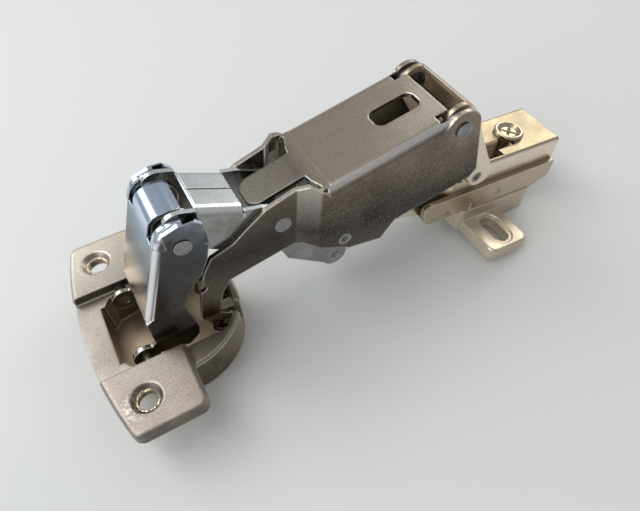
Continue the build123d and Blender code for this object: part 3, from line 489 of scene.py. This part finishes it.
    @staticmethod
    def _paint_nick_and_sheen(bench: NodeBench, where: Socket, tint: Socket, nick_and_sheen: NickAndSheen) -> Socket:
        """Paints a flaky bright spot round one point: chipped plating with a painted warm reflection.

        Args:
            bench: The bench of the material's tree.
            where: Object coordinates.
            tint: Colour socket beneath.
            nick_and_sheen: Where the spot lies and how it looks.

        Returns:
            The new colour socket.
        """
        gap = bench.node("ShaderNodeVectorMath", operation="DISTANCE")
        gap.inputs[1].default_value = in_metres(nick_and_sheen.point)
        bench.link(where, gap.inputs[0])
        near = bench.ramp(gap.outputs["Value"], nick_and_sheen.reach * MM, nick_and_sheen.reach * SPOT_CORE * MM)
        flakes = bench.ramp(bench.noise(where, nick_and_sheen.flake_size, detail=3.0, rough=0.7), *FLAKE_SPAN)
        return bench.lay_over(bench.multiply(near, flakes), tint, nick_and_sheen.colour, SPOT_COVER)


@dataclass
class Finishes:
    """The plated finishes of the hinge, made once and shared."""

    cast: NickelFinish = NickelFinish(
        name="cast_satin_nickel",
        base=(0.46, 0.395, 0.345),
        cloud=(0.38, 0.325, 0.28),
        edge=(0.97, 0.93, 0.87),
        rough_low=0.32,
        rough_high=0.48,
        grain_size=0.17,
        grain_depth=0.016,
        speckle=0.30,
        edge_radius=0.75,
        edge_wear_and_highlight_share=0.9,
        # Painted shade on the cup's sides.
        wall=(0.11, 0.090, 0.072),
        tones=(
            # Painted highlight on the far ear.
            Tone((0.84, 0.74, 0.60), FAR_SIDE, 12.0, 27.0, patchy=0.2),
            # Lighter golden pocket below the cup's face: painted warm light.
            Tone((0.72, 0.58, 0.41), CUP_DOWN, 3.0 - CUP_LEVEL, 3.9 - CUP_LEVEL, patchy=0.25),
        ),
        # Flaky bright spots by the ears' holes: chipped plating with a painted warm reflection.
        nicks_and_sheen=(
            NickAndSheen((-104.2, -21.8, 2.9), 3.8, (0.95, 0.90, 0.82), 0.9),
            NickAndSheen((-104.2, 20.6, 2.9), 3.0, (0.95, 0.88, 0.74), 0.7),
        ),
    )
    sheet: NickelFinish = NickelFinish(
        name="pressed_satin_nickel",
        base=(0.60, 0.495, 0.40),
        cloud=(0.49, 0.40, 0.32),
        edge=(0.97, 0.93, 0.88),
        rough_low=0.22,
        rough_high=0.36,
        grain_size=0.15,
        grain_depth=0.009,
        speckle=0.28,
        edge_radius=0.50,
        edge_wear_and_highlight_share=1.0,
        # Painted highlight on the bends, and painted shade on the walls.
        bend_highlight_share=0.85,
        wall=(0.155, 0.120, 0.092),
        # Painted shade: darker ahead of the joggle.
        tones=(Tone((0.33, 0.285, 0.24), FORWARD, 53.5, 56.5, patchy=0.2),),
        # Painted shade, darker towards the bottom: near black below 24 mm, dark brown below 11 mm.
        low_tones=(
            Tone((0.030, 0.026, 0.022), DOWN, -37.0, -24.0, patchy=0.2),
            Tone((0.16, 0.13, 0.10), DOWN, -22.0, -11.0, patchy=0.2),
        ),
    )
    front: NickelFinish = NickelFinish(
        name="front_link_bright_nickel",
        base=(0.70, 0.82, 0.98),
        cloud=(0.61, 0.72, 0.90),
        edge=(0.97, 0.98, 0.99),
        rough_low=0.16,
        rough_high=0.28,
        grain_size=0.30,
        grain_depth=0.004,
        cloud_size=6.0,
        edge_radius=0.45,
        edge_wear_and_highlight_share=0.95,
        # Painted highlight on the bends, and painted shade on the walls.
        bend_highlight_share=0.80,
        wall=(0.07, 0.068, 0.066),
        # Painted reflections: the bluish base on top, then a darker blue band, a near black middle and a
        # warm lower part.
        tones=(
            Tone((0.24, 0.32, 0.41), DOWN, -35.5, -32.5, patchy=0.1),
            Tone((0.055, 0.063, 0.073), DOWN, -33.0, -26.0, patchy=0.2),
            Tone((0.60, 0.50, 0.40), DOWN, -24.0, -17.0, patchy=0.3),
        ),
    )
    short: NickelFinish = NickelFinish(
        name="short_link_bright_nickel",
        base=(0.97, 1.0, 1.0),
        cloud=(0.90, 0.98, 1.0),
        edge=(1.0, 1.0, 1.0),
        rough_low=0.20,
        rough_high=0.30,
        grain_size=0.40,
        grain_depth=0.002,
        cloud_size=6.0,
        edge_wear_and_highlight_share=0.80,
        # Painted highlight on the bends, and painted shade on the walls.
        bend_highlight_share=0.90,
        wall=(0.24, 0.23, 0.215),
    )
    arm: NickelFinish = NickelFinish(
        name="arm_nickel_plate",
        base=(0.49, 0.41, 0.28),
        cloud=(0.41, 0.345, 0.235),
        edge=(0.98, 0.94, 0.86),
        rough_low=0.26,
        rough_high=0.40,
        grain_size=0.22,
        grain_depth=0.008,
        speckle=0.15,
        edge_radius=0.45,
        edge_wear_and_highlight_share=0.9,
        # Painted light: the arm's walls lighter than its top.
        wall=(0.98, 0.87, 0.72),
    )
    # A darker copy of the arm finish: painted shade on the carrier, with walls still painted lighter than
    # its top.
    carrier: NickelFinish = replace(
        arm,
        name="carrier_nickel_plate",
        base=(0.42, 0.35, 0.24),
        cloud=(0.34, 0.285, 0.195),
        wall=(0.60, 0.51, 0.38),
    )
    plate: NickelFinish = NickelFinish(
        name="plate_cast_nickel",
        base=(0.95, 0.865, 0.70),
        cloud=(0.80, 0.715, 0.56),
        edge=(0.99, 0.96, 0.90),
        rough_low=0.30,
        rough_high=0.44,
        grain_size=0.22,
        grain_depth=0.014,
        speckle=0.18,
        edge_radius=0.55,
        edge_wear_and_highlight_share=0.9,
        # Painted shade on the plate's walls.
        wall=(0.60, 0.52, 0.41),
    )
    pin: NickelFinish = NickelFinish(
        name="riveted_pin_steel",
        base=(0.30, 0.30, 0.305),
        cloud=(0.21, 0.21, 0.215),
        edge=(0.88, 0.87, 0.85),
        rough_low=0.24,
        rough_high=0.44,
        grain_size=0.20,
        grain_depth=0.012,
        cloud_size=2.0,
        edge_radius=0.30,
        edge_wear_and_highlight_share=0.85,
    )
    # A darker copy of the pin finish with dim edges: painted shade on the pins sunk in the cup.
    dark_pin: NickelFinish = NickelFinish(
        name="sunk_pin_steel",
        base=(0.30, 0.26, 0.21),
        cloud=(0.20, 0.17, 0.14),
        edge=(0.44, 0.39, 0.32),
        rough_low=0.28,
        rough_high=0.46,
        grain_size=0.20,
        grain_depth=0.012,
        cloud_size=2.0,
        edge_wear_and_highlight_share=0.5,
    )
    screw: NickelFinish = NickelFinish(
        name="screw_bright_zinc",
        base=(0.68, 0.58, 0.42),
        cloud=(0.53, 0.45, 0.32),
        edge=(0.98, 0.96, 0.91),
        rough_low=0.16,
        rough_high=0.32,
        grain_size=0.35,
        grain_depth=0.010,
        cloud_size=2.0,
        edge_wear_and_highlight_share=0.9,
    )
    burr: NickelFinish = NickelFinish(
        name="torn_plating",
        base=(0.98, 0.86, 0.62),
        cloud=(0.86, 0.70, 0.45),
        edge=(1.0, 0.96, 0.86),
        rough_low=0.20,
        rough_high=0.40,
        grain_size=0.35,
        grain_depth=0.03,
        cloud_size=1.5,
        edge_wear_and_highlight_share=0.6,
    )
    spring: NickelFinish = NickelFinish(
        name="oiled_spring_wire",
        base=(0.20, 0.19, 0.18),
        cloud=(0.12, 0.115, 0.11),
        edge=(0.45, 0.44, 0.43),
        rough_low=0.26,
        rough_high=0.42,
        cloud_size=2.5,
    )
    made: dict[str, bpy.types.Material] = field(default_factory=dict)

    def give(self, finish: NickelFinish) -> bpy.types.Material:
        """Gives a finish's material, built the first time it is asked for.

        Args:
            finish: The finish wanted.

        Returns:
            Its material.
        """
        if finish.name not in self.made:
            self.made[finish.name] = finish.make()
        return self.made[finish.name]

    def dress(self, piece: bpy.types.Object, finish: NickelFinish) -> None:
        """Gives a piece one finish all over.

        Args:
            piece: The object to dress.
            finish: The finish it gets.
        """
        piece.data.materials.clear()
        piece.data.materials.append(self.give(finish))
        log.info("dressed %s in %s", piece.name, finish.name)


class Workshop:
    """Modelling steps shared by the pieces, each one an operator used as by hand."""

    @staticmethod
    def pick(piece: bpy.types.Object) -> None:
        """Selects one piece alone and makes it active.

        Args:
            piece: The piece to select.
        """
        bpy.ops.object.select_all(action="DESELECT")
        piece.select_set(True)
        bpy.context.view_layer.objects.active = piece

    @staticmethod
    def settle(piece: bpy.types.Object) -> None:
        """Puts a piece's place, turn and size into its mesh."""
        Workshop.pick(piece)
        bpy.ops.object.transform_apply(location=True, rotation=True, scale=True)

    @staticmethod
    def outward(piece: bpy.types.Object) -> None:
        """Merges doubled points and turns the faces outwards.

        Args:
            piece: The piece to mend.
        """
        Workshop.pick(piece)
        bpy.ops.object.mode_set(mode="EDIT")
        bpy.ops.mesh.select_all(action="SELECT")
        bpy.ops.mesh.remove_doubles(threshold=MERGE_GAP)
        bpy.ops.mesh.normals_make_consistent(inside=False)
        bpy.ops.object.mode_set(mode="OBJECT")

    @staticmethod
    def block(name: str, centre: Point, size: Point, turn: float = 0.0) -> bpy.types.Object:
        """Makes a block, in millimetres, turned about the cross direction.

        Args:
            name: The block's name.
            centre: Its middle.
            size: Its side lengths.
            turn: Turn about Y in degrees.

        Returns:
            The block.
        """
        bpy.ops.object.select_all(action="DESELECT")
        bpy.ops.mesh.primitive_cube_add(
            size=1.0,
            location=in_metres(centre),
            rotation=(0.0, math.radians(turn), 0.0),
            scale=in_metres(size),
        )
        made = bpy.context.object
        made.name = name
        Workshop.settle(made)
        return made

    @staticmethod
    def round_bar(
        name: str,
        centre: Point,
        radius: float,
        length: float,
        upright: bool = False,
        sides: int = 48,
    ) -> bpy.types.Object:
        """Makes a round bar, in millimetres, lying across the hinge or upright.

        Args:
            name: The bar's name.
            centre: Its middle.
            radius: Its radius.
            length: Its length.
            upright: Whether it stands along Z.
            sides: Number of sides.

        Returns:
            The bar.
        """
        bpy.ops.object.select_all(action="DESELECT")
        bpy.ops.mesh.primitive_cylinder_add(
            vertices=sides,
            radius=radius * MM,
            depth=length * MM,
            location=in_metres(centre),
            rotation=(0.0, 0.0, 0.0) if upright else (math.radians(90), 0.0, 0.0),
        )
        made = bpy.context.object
        made.name = name
        Workshop.settle(made)
        return made

    @staticmethod
    def plan_prism(
        name: str, corners: tuple[tuple[float, float], ...], low: float, high: float
    ) -> bpy.types.Object:
        """Makes an upright prism from its corners seen from above, in millimetres.

        Args:
            name: The prism's name.
            corners: Its corners in turn.
            low: Height of its underside.
            high: Height of its top.

        Returns:
            The prism.
        """
        bpy.ops.object.select_all(action="DESELECT")
        bpy.ops.mesh.primitive_circle_add(vertices=len(corners), radius=MM, fill_type="NGON")
        made = bpy.context.object
        made.name = name
        for point, (x, y) in zip(made.data.vertices, corners):
            point.co = in_metres((x, y, low))
        bpy.ops.object.mode_set(mode="EDIT")
        bpy.ops.mesh.select_all(action="SELECT")
        bpy.ops.mesh.extrude_region_move(TRANSFORM_OT_translate={"value": (0.0, 0.0, (high - low) * MM)})
        bpy.ops.object.mode_set(mode="OBJECT")
        Workshop.outward(made)
        return made

    @staticmethod
    def shaped_copy(solid: bpy.types.Object, name: str) -> bpy.types.Object:
        """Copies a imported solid, mesh and all, ready to be shaped further.

        Args:
            solid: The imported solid, left as it is.
            name: The copy's name.

        Returns:
            The copy, with its points merged.
        """
        piece = solid.copy()
        piece.data = solid.data.copy()
        piece.name = name
        bpy.context.scene.collection.objects.link(piece)
        Workshop.outward(piece)
        return piece

    @staticmethod
    def cut(piece: bpy.types.Object, tool: bpy.types.Object) -> None:
        """Cuts a tool out of a piece and clears the tool away.

        Args:
            piece: The piece that is cut.
            tool: The closed shape that is taken out of it.
        """
        Workshop.pick(piece)
        step = piece.modifiers.new("cut", "BOOLEAN")
        step.operation = "DIFFERENCE"
        step.solver = "EXACT"
        step.object = tool
        bpy.ops.object.modifier_apply(modifier=step.name)
        bpy.data.objects.remove(tool, do_unlink=True)

    @staticmethod
    def round_edges(piece: bpy.types.Object, width: float, segments: int = 2, angle: float = 40.0) -> None:
        """Rounds a piece's sharp edges with an applied bevel.

        Args:
            piece: The piece to round.
            width: Width of the rounding in millimetres.
            segments: Number of steps in it.
            angle: Turn in degrees from which an edge counts as sharp.
        """
        Workshop.pick(piece)
        step = piece.modifiers.new("rounding", "BEVEL")
        step.width = width * MM
        step.segments = segments
        step.limit_method = "ANGLE"
        step.angle_limit = math.radians(angle)
        step.use_clamp_overlap = True
        bpy.ops.object.modifier_apply(modifier=step.name)

    @staticmethod
    def smooth(piece: bpy.types.Object, angle: float) -> None:
        """Shades a piece smooth up to an angle."""
        Workshop.pick(piece)
        bpy.ops.object.shade_smooth_by_angle(angle=math.radians(angle))

    @staticmethod
    def finish(piece: bpy.types.Object, angle: float) -> None:
        """Mends a made piece and shades it smooth up to an angle."""
        Workshop.outward(piece)
        Workshop.smooth(piece, angle)


def along(start: tuple[float, float], reach: float, bearing: float) -> tuple[float, float]:
    """Finds a point in a flat view from a start, a reach and a bearing.

    Args:
        start: The start, in millimetres.
        reach: Distance from it.
        bearing: Direction in degrees from the first axis to the second.

    Returns:
        The point.
    """
    turn = math.radians(bearing)
    return start[0] + reach * math.cos(turn), start[1] + reach * math.sin(turn)


@dataclass
class RolledCap:
    """The front link's rolled cap, in millimetres, with bearings in degrees in the side view."""

    joint: tuple[float, float] = (-85.50, 32.03)
    cap_radius: float = 5.60

    strip_half: float = 4.55
    strip_rear: float = 66.0
    strip_corner: float = 1.4
    strip_corner_inset: float = 0.15

    slot_reach: float = 7.10
    slot_front: float = 172.0
    slot_shift: float = 2.0
    slot_long: float = 20.0
    slot_deep: float = 12.0

    finger_inner: float = 7.20
    finger_outer: float = 8.46
    finger_radius: float = 5.78
    finger_bore: float = 4.48
    finger_rounding: float = 0.38
    finger_arc: tuple[float, float] = (80.0, 174.0)

    corner_inner: float = 7.56
    corner_outer: float = 9.595
    corner_radius: float = 5.70
    corner_bore: float = 2.9
    corner_rounding: float = 1.55
    corner_arc: tuple[float, float] = (124.0, 168.0)

    trim_reach: float = 10.0
    trim_size: Point = (30.0, 4.0, 20.0)

    def build(self, solid: bpy.types.Object) -> bpy.types.Object:
        """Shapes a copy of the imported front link: narrower middle strip, round rear corners.

        Args:
            solid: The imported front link.

        Returns:
            The shaped piece.
        """
        piece = Workshop.shaped_copy(solid, "front_link_sheet")
        for side in (-1, 1):
            Workshop.cut(piece, self._slot_block(side))
            Workshop.cut(piece, self._corner_tool(side))
        return piece

    def fingers(self) -> list[bpy.types.Object]:
        """Builds the rounded fingers that lie beside the walls, outside the slots.

        Returns:
            The near and the far finger.
        """
        made = []
        width = self.finger_outer - self.finger_inner
        for side, label in ((-1, "near"), (1, "far")):
            centre = (self.joint[0], side * (self.finger_inner + width / 2), self.joint[1])
            finger = Workshop.round_bar(f"cap_finger_{label}", centre, self.finger_radius, width, sides=96)
            bore = Workshop.round_bar("finger_bore", centre, self.finger_bore, width + CLEAR, sides=96)
            Workshop.cut(finger, bore)
            self._trim(finger, centre[1], self.finger_arc)
            Workshop.round_edges(finger, self.finger_rounding, segments=3)
            Workshop.finish(finger, SMALL_PIECE_ANGLE)
            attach(finger, Body.FRONT_LINK.value)
            made.append(finger)
        return made

    def corners(self) -> list[bpy.types.Object]:
        """Builds the rounded corners where the walls' bend runs out under the cap.

        Returns:
            The near and the far corner.
        """
        made = []
        width = self.corner_outer - self.corner_inner
        for side, label in ((-1, "near"), (1, "far")):
            centre = (self.joint[0], side * (self.corner_inner + width / 2), self.joint[1])
            corner = Workshop.round_bar(f"cap_corner_{label}", centre, self.corner_radius, width, sides=120)
            self._round_rim(corner, side * self.corner_outer)
            Workshop.cut(corner, Workshop.round_bar("corner_bore", centre, self.corner_bore, width + CLEAR))
            self._trim(corner, centre[1], self.corner_arc)
            Workshop.finish(corner, SMALL_PIECE_ANGLE)
            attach(corner, Body.FRONT_LINK.value)
            made.append(corner)
        return made

    def _trim(self, ring: bpy.types.Object, across: float, arc: tuple[float, float]) -> None:
        """Trims a ring to an arc.

        Args:
            ring: The ring round the cap's joint.
            across: Where the ring lies across the hinge.
            arc: Bearings of the arc's rear and front end.
        """
        for bearing in (arc[0] - 180.0, arc[1]):
            x, z = along(self.joint, self.trim_reach, bearing + 90.0)
            Workshop.cut(ring, Workshop.block("cap_trim", (x, across, z), self.trim_size, -bearing))

    def _round_rim(self, corner: bpy.types.Object, rim: float) -> None:
        """Rounds the outer rim of a corner like the bend below it.

        Args:
            corner: The corner's round bar.
            rim: Where its rim lies across the hinge.
        """
        Workshop.pick(corner)
        bpy.ops.object.mode_set(mode="EDIT")
        bpy.ops.mesh.select_all(action="DESELECT")
        bpy.ops.mesh.select_mode(type="EDGE")
        bpy.ops.object.mode_set(mode="OBJECT")
        for edge in corner.data.edges:
            ends = [corner.data.vertices[index].co for index in edge.vertices]
            edge.select = all(abs(end.y - rim * MM) < PLANE_GAP for end in ends)
        bpy.ops.object.mode_set(mode="EDIT")
        bpy.ops.mesh.bevel(offset=self.corner_rounding * MM, segments=6, affect="EDGES")
        bpy.ops.object.mode_set(mode="OBJECT")

    def _slot_block(self, side: int) -> bpy.types.Object:
        """Makes the block that clears one slot.

        Args:
            side: -1 for the near slot, 1 for the far one.

        Returns:
            The cutting block.
        """
        start = along(self.joint, self.slot_shift, self.slot_front)
        x, z = along(start, self.slot_deep / 2, self.slot_front - 90)
        width = self.slot_reach - self.strip_half
        across = side * (self.strip_half + width / 2)
        size = (self.slot_long, width, self.slot_deep)
        return Workshop.block("slot_tool", (x, across, z), size, -self.slot_front)

    def _corner_tool(self, side: int) -> bpy.types.Object:
        """Makes the tool that rounds one rear corner of the middle strip.

        Args:
            side: -1 for the near corner, 1 for the far one.

        Returns:
            The cutting tool.
        """
        end = along(self.joint, self.cap_radius, self.strip_rear)
        corner = self.strip_corner
        centre = (end[0] - corner + self.strip_corner_inset, side * (self.strip_half - corner), end[1])
        size = corner + CLEAR / 2
        middle = (centre[0] + size / 2, centre[1] + side * size / 2, centre[2])
        tool = Workshop.block("corner_tool", middle, (size, size, self.slot_deep / 2))
        core = Workshop.round_bar("corner_core", centre, corner, self.slot_deep / 2 + CLEAR, upright=True)
        Workshop.cut(tool, core)
        return tool


@dataclass
class TopPlateFront:
    """The front edge of the outer link's top plate, trimmed back, in millimetres."""

    edge: tuple[tuple[float, float], ...] = (
        (-58.5, 4.3),
        (-55.6, 4.3),
        (-55.3, 6.2),
        (-54.3, 8.7),
        (-54.2, 9.5),
        (-56.6, 9.5),
        (-58.5, 8.8),
    )
    low: float = 32.2
    high: float = 36.0

    def build(self, solid: bpy.types.Object) -> bpy.types.Object:
        """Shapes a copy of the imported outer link.

        Args:
            solid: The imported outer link.

        Returns:
            The shaped piece.
        """
        piece = Workshop.shaped_copy(solid, "outer_link_sheet")
        for side in (-1, 1):
            corners = tuple((x, side * y) for x, y in self.edge)
            Workshop.cut(piece, Workshop.plan_prism("front_edge_tool", corners, self.low, self.high))
        return piece


@dataclass
class CapLobes:
    """The short link's lobes that show in the cap's slots, and its flaps' rim, in millimetres."""

    joint: tuple[float, float] = (-85.50, 32.03)
    inner_half: float = 4.75
    outer_half: float = 6.00
    radius: float = 4.36
    bore: float = 1.45
    rounding: float = 0.35
    rim_centre: Point = (-80.75, 0.0, 37.25)
    rim_radius: float = 0.42
    rim_half: float = 6.0
    rim_rounding: float = 0.18

    def build(self) -> list[bpy.types.Object]:
        """Builds the lobe on each side.

        Returns:
            The near and the far lobe.
        """
        made = []
        width = self.outer_half - self.inner_half
        for side, label in ((-1, "near"), (1, "far")):
            centre = (self.joint[0], side * (self.inner_half + width / 2), self.joint[1])
            lobe = Workshop.round_bar(f"cap_lobe_{label}", centre, self.radius, width, sides=64)
            Workshop.cut(lobe, Workshop.round_bar("lobe_bore", centre, self.bore, width + CLEAR))
            Workshop.round_edges(lobe, self.rounding, segments=3)
            Workshop.finish(lobe, SMALL_PIECE_ANGLE)
            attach(lobe, Body.SHORT_LINK.value)
            made.append(lobe)
        return made

    def front_rim(self) -> bpy.types.Object:
        """Builds the rolled rim at the front edge of the short link's two flaps.

        Returns:
            The rim.
        """
        length = 2 * self.rim_half
        rim = Workshop.round_bar("flap_front_rim", self.rim_centre, self.rim_radius, length, sides=24)
        Workshop.round_edges(rim, self.rim_rounding, segments=3, angle=60.0)
        Workshop.finish(rim, SMALL_PIECE_ANGLE)
        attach(rim, Body.SHORT_LINK.value)
        return rim


@dataclass
class HoleBurrs:
    """The torn plating round the feet of the ears' screw holes, in millimetres."""

    foot: Point = (-101.71, 21.0, 1.62)
    radius: float = 2.52
    bead: float = 0.34
    tear: float = 0.24
    seed: int = 7
    gap: Point = (2.2, 2.4, 3.0)
    near_gap_bearing: float = 20.0
    far_gap_bearing: float = -35.0

    def build(self) -> list[bpy.types.Object]:
        """Builds the broken ring in each ear's hole.

        Returns:
            The near and the far ring.
        """
        made = []
        for side, label, bearing in (
            (-1, "near", self.near_gap_bearing),
            (1, "far", self.far_gap_bearing),
        ):
            x, y, z = self.foot[0], side * self.foot[1], self.foot[2]
            bpy.ops.object.select_all(action="DESELECT")
            bpy.ops.mesh.primitive_torus_add(
                location=in_metres((x, y, z)),
                rotation=(0.0, -math.radians(CUP_TILT), 0.0),
                major_radius=self.radius * MM,
                minor_radius=self.bead * MM,
                major_segments=56,
                minor_segments=8,
            )
            ring = bpy.context.object
            ring.name = f"hole_burr_{label}"
            Workshop.settle(ring)
            bpy.ops.object.mode_set(mode="EDIT")
            bpy.ops.mesh.select_all(action="SELECT")
            bpy.ops.transform.vertex_random(
                offset=self.tear * MM, uniform=0.4, normal=0.0, seed=self.seed + side
            )
            bpy.ops.object.mode_set(mode="OBJECT")
            middle = along((x, y), self.radius, bearing)
            Workshop.cut(ring, Workshop.block("burr_gap", (*middle, z), self.gap))
            Workshop.finish(ring, BURR_ANGLE)
            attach(ring, Body.CUP.value)
            made.append(ring)
        return made


@dataclass
class HingeMetalwork:
    """The hinge's solid pieces in their finishes, and the small shaped pieces on them."""

    nodes: dict[str, bpy.types.Object]
    finishes: Finishes

    def dress_solids(self) -> None:
        """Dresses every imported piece. The pins that aren't named share one finish."""
        kinds = {
            "hinge_cup": self.finishes.cast,
            "mounting_plate": self.finishes.plate,
            "outer_link": self.finishes.sheet,
            "arm_carrier": self.finishes.carrier,
            "hinge_arm": self.finishes.arm,
            "rear_link": self.finishes.arm,
            "front_link": self.finishes.front,
            "short_link": self.finishes.short,
            "locking_screw": self.finishes.screw,
            "cup_front_pins": self.finishes.dark_pin,
            "cup_rear_pin": self.finishes.dark_pin,
            "closing_spring": self.finishes.spring,
        }
        for name, piece in self.nodes.items():
            self.finishes.dress(piece, kinds.get(name, self.finishes.pin))

    def add_front_link(self) -> None:
        """Adds the front link with its shaped cap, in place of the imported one."""
        cap = RolledCap()
        sheet = cap.build(self.nodes["front_link"])
        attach(sheet, Body.FRONT_LINK.value)
        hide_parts("front_link")
        for piece in [sheet, *cap.fingers(), *cap.corners()]:
            self.finishes.dress(piece, self.finishes.front)

    def add_outer_link(self) -> None:
        """Adds the outer link with its trimmed top plate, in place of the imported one."""
        channel = TopPlateFront().build(self.nodes["outer_link"])
        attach(channel, Body.OUTER_LINK.value)
        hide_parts("outer_link")
        self.finishes.dress(channel, self.finishes.sheet)

    def add_details(self) -> None:
        """Adds the torn plating in the ears' holes and the short link's lobes and rim."""
        for piece in HoleBurrs().build():
            self.finishes.dress(piece, self.finishes.burr)
        lobes = CapLobes()
        for piece in [*lobes.build(), lobes.front_rim()]:
            self.finishes.dress(piece, self.finishes.short)

    def build(self) -> None:
        """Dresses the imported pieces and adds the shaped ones."""
        self.dress_solids()
        self.add_front_link()
        self.add_outer_link()
        self.add_details()


@dataclass(frozen=True)
class Lamp:
    """A square soft lamp: its place and side in metres, its power in watts."""

    name: str
    place: Point
    size: float
    power: float
    colour: Colour


@dataclass
class Studio:
    """Floor, lamps, surroundings and camera, in metres."""

    floor_point: Point = (-0.08918, 0.0, -0.01008)
    floor_half: float = 1.6
    floor_colour: Colour = (0.80, 0.80, 0.79)
    floor_roughness: float = 0.75
    backdrop: Colour = (0.80, 0.80, 0.79)
    glow_colour: Colour = (0.96, 0.98, 1.0)
    glow: float = 0.42
    mirrored_glow: float = 0.34
    lamps_aim: Point = (-0.05, 0.0, 0.015)
    lamps: tuple[Lamp, ...] = (
        Lamp("window_lamp", (-0.38, 0.36, 0.38), 0.30, 0.9, (0.88, 0.95, 1.0)),
        Lamp("ceiling_lamp", (-0.40, 0.12, 0.58), 0.45, 1.3, (1.0, 0.97, 0.93)),
        Lamp("side_lamp", (-0.55, -0.20, 0.28), 0.30, 0.55, (0.85, 0.93, 1.0)),
        Lamp("rear_lamp", (0.38, 0.24, 0.34), 0.26, 0.55, (1.0, 0.95, 0.86)),
        Lamp("high_lamp", (0.14, 0.33, 0.49), 0.16, 0.07, (0.86, 0.96, 1.0)),
    )
    camera_at: Point = (-0.100063, -0.082996, 0.114594)
    camera_right: Point = (0.873907, -0.483406, 0.051044)
    camera_down: Point = (-0.339517, -0.682163, -0.647598)
    camera_ahead: Point = (0.347873, 0.548609, -0.760271)
    camera_clip: tuple[float, float] = (0.005, 20.0)
    sensor_mm: float = 36.0
    focal_share: float = 0.860085

    def lay_floor(self) -> None:
        """Lays the floor under the cup and the plate's rear edge. From below it is clear."""
        bpy.ops.object.select_all(action="DESELECT")
        bpy.ops.mesh.primitive_plane_add(size=2 * self.floor_half)
        floor = bpy.context.object
        floor.name = "floor"
        tilt = Matrix.Rotation(-math.radians(CUP_TILT), 4, "Y")
        floor.matrix_world = Matrix.Translation(self.floor_point) @ tilt
        bpy.ops.object.transform_apply(location=True, rotation=True, scale=True)
        material = bpy.data.materials.new("pale_floor")
        material.use_nodes = True
        bench = NodeBench(material.node_tree)
        shader = material.node_tree.nodes["Principled BSDF"]
        out = material.node_tree.nodes["Material Output"]
        shader.inputs["Base Color"].default_value = (*self.floor_colour, 1.0)
        shader.inputs["Roughness"].default_value = self.floor_roughness
        clear = bench.node("ShaderNodeBsdfTransparent")
        side = bench.node("ShaderNodeNewGeometry")
        blend = bench.node("ShaderNodeMixShader")
        bench.link(side.outputs["Backfacing"], blend.inputs[0])
        bench.link(shader.outputs["BSDF"], blend.inputs[1])
        bench.link(clear.outputs["BSDF"], blend.inputs[2])
        bench.link(blend.outputs["Shader"], out.inputs["Surface"])
        floor.data.materials.append(material)

    def hang_lamp(self, lamp: Lamp) -> None:
        """Hangs one lamp and aims it at the hinge.

        Args:
            lamp: The lamp to hang.
        """
        light = bpy.data.lights.new(lamp.name, "AREA")
        light.size = lamp.size
        light.energy = lamp.power
        light.color = lamp.colour
        holder = bpy.data.objects.new(lamp.name, light)
        bpy.context.scene.collection.objects.link(holder)
        holder.location = lamp.place
        holder.rotation_mode = "QUATERNION"
        ahead = Vector(self.lamps_aim) - Vector(lamp.place)
        holder.rotation_quaternion = ahead.to_track_quat("-Z", "Y")

    def surround(self) -> None:
        """Sets the room: a pale backdrop to look at, an even glow, and a dimmer one in mirrors."""
        world = bpy.data.worlds.new("soft_surroundings")
        bpy.context.scene.world = world
        world.use_nodes = True
        bench = NodeBench(world.node_tree)
        background = world.node_tree.nodes["Background"]
        background.inputs["Color"].default_value = (*self.glow_colour, 1.0)
        background.inputs["Strength"].default_value = self.glow
        mirrored = bench.node("ShaderNodeBackground")
        mirrored.inputs["Color"].default_value = (*self.glow_colour, 1.0)
        mirrored.inputs["Strength"].default_value = self.mirrored_glow
        backdrop = bench.node("ShaderNodeBackground")
        backdrop.inputs["Color"].default_value = (*self.backdrop, 1.0)
        path = bench.node("ShaderNodeLightPath")
        light = bench.node("ShaderNodeMixShader")
        choice = bench.node("ShaderNodeMixShader")
        out = world.node_tree.nodes["World Output"]
        bench.link(path.outputs["Is Glossy Ray"], light.inputs[0])
        bench.link(background.outputs["Background"], light.inputs[1])
        bench.link(mirrored.outputs["Background"], light.inputs[2])
        bench.link(path.outputs["Is Camera Ray"], choice.inputs[0])
        bench.link(light.outputs["Shader"], choice.inputs[1])
        bench.link(backdrop.outputs["Background"], choice.inputs[2])
        bench.link(choice.outputs["Shader"], out.inputs["Surface"])

    def set_camera(self) -> None:
        """Places the camera at the viewing angle."""
        data = bpy.data.cameras.new("view_camera")
        data.sensor_width = self.sensor_mm
        data.lens = self.sensor_mm * self.focal_share
        data.clip_start, data.clip_end = self.camera_clip
        camera = bpy.data.objects.new("view_camera", data)
        bpy.context.scene.collection.objects.link(camera)
        right = Vector(self.camera_right)
        up = -Vector(self.camera_down)
        back = -Vector(self.camera_ahead)
        turn = Matrix((right, up, back)).transposed().to_4x4()
        camera.matrix_world = Matrix.Translation(self.camera_at) @ turn
        bpy.context.scene.camera = camera

    def set_up(self) -> None:
        """Builds the whole studio."""
        self.lay_floor()
        for lamp in self.lamps:
            self.hang_lamp(lamp)
        self.surround()
        self.set_camera()
        bpy.context.scene.view_settings.view_transform = "Standard"
        log.info("studio is set up")


def main() -> None:
    """Builds the looks of the hinge in order."""
    logging.basicConfig(level=logging.INFO, format="%(name)s: %(message)s")
    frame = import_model()
    bpy.ops.object.select_all(action="DESELECT")
    HingeMetalwork(frame["nodes"], Finishes()).build()
    Studio().set_up()
    log.info("all pieces are in place")


if __name__ == "__main__":
    main()
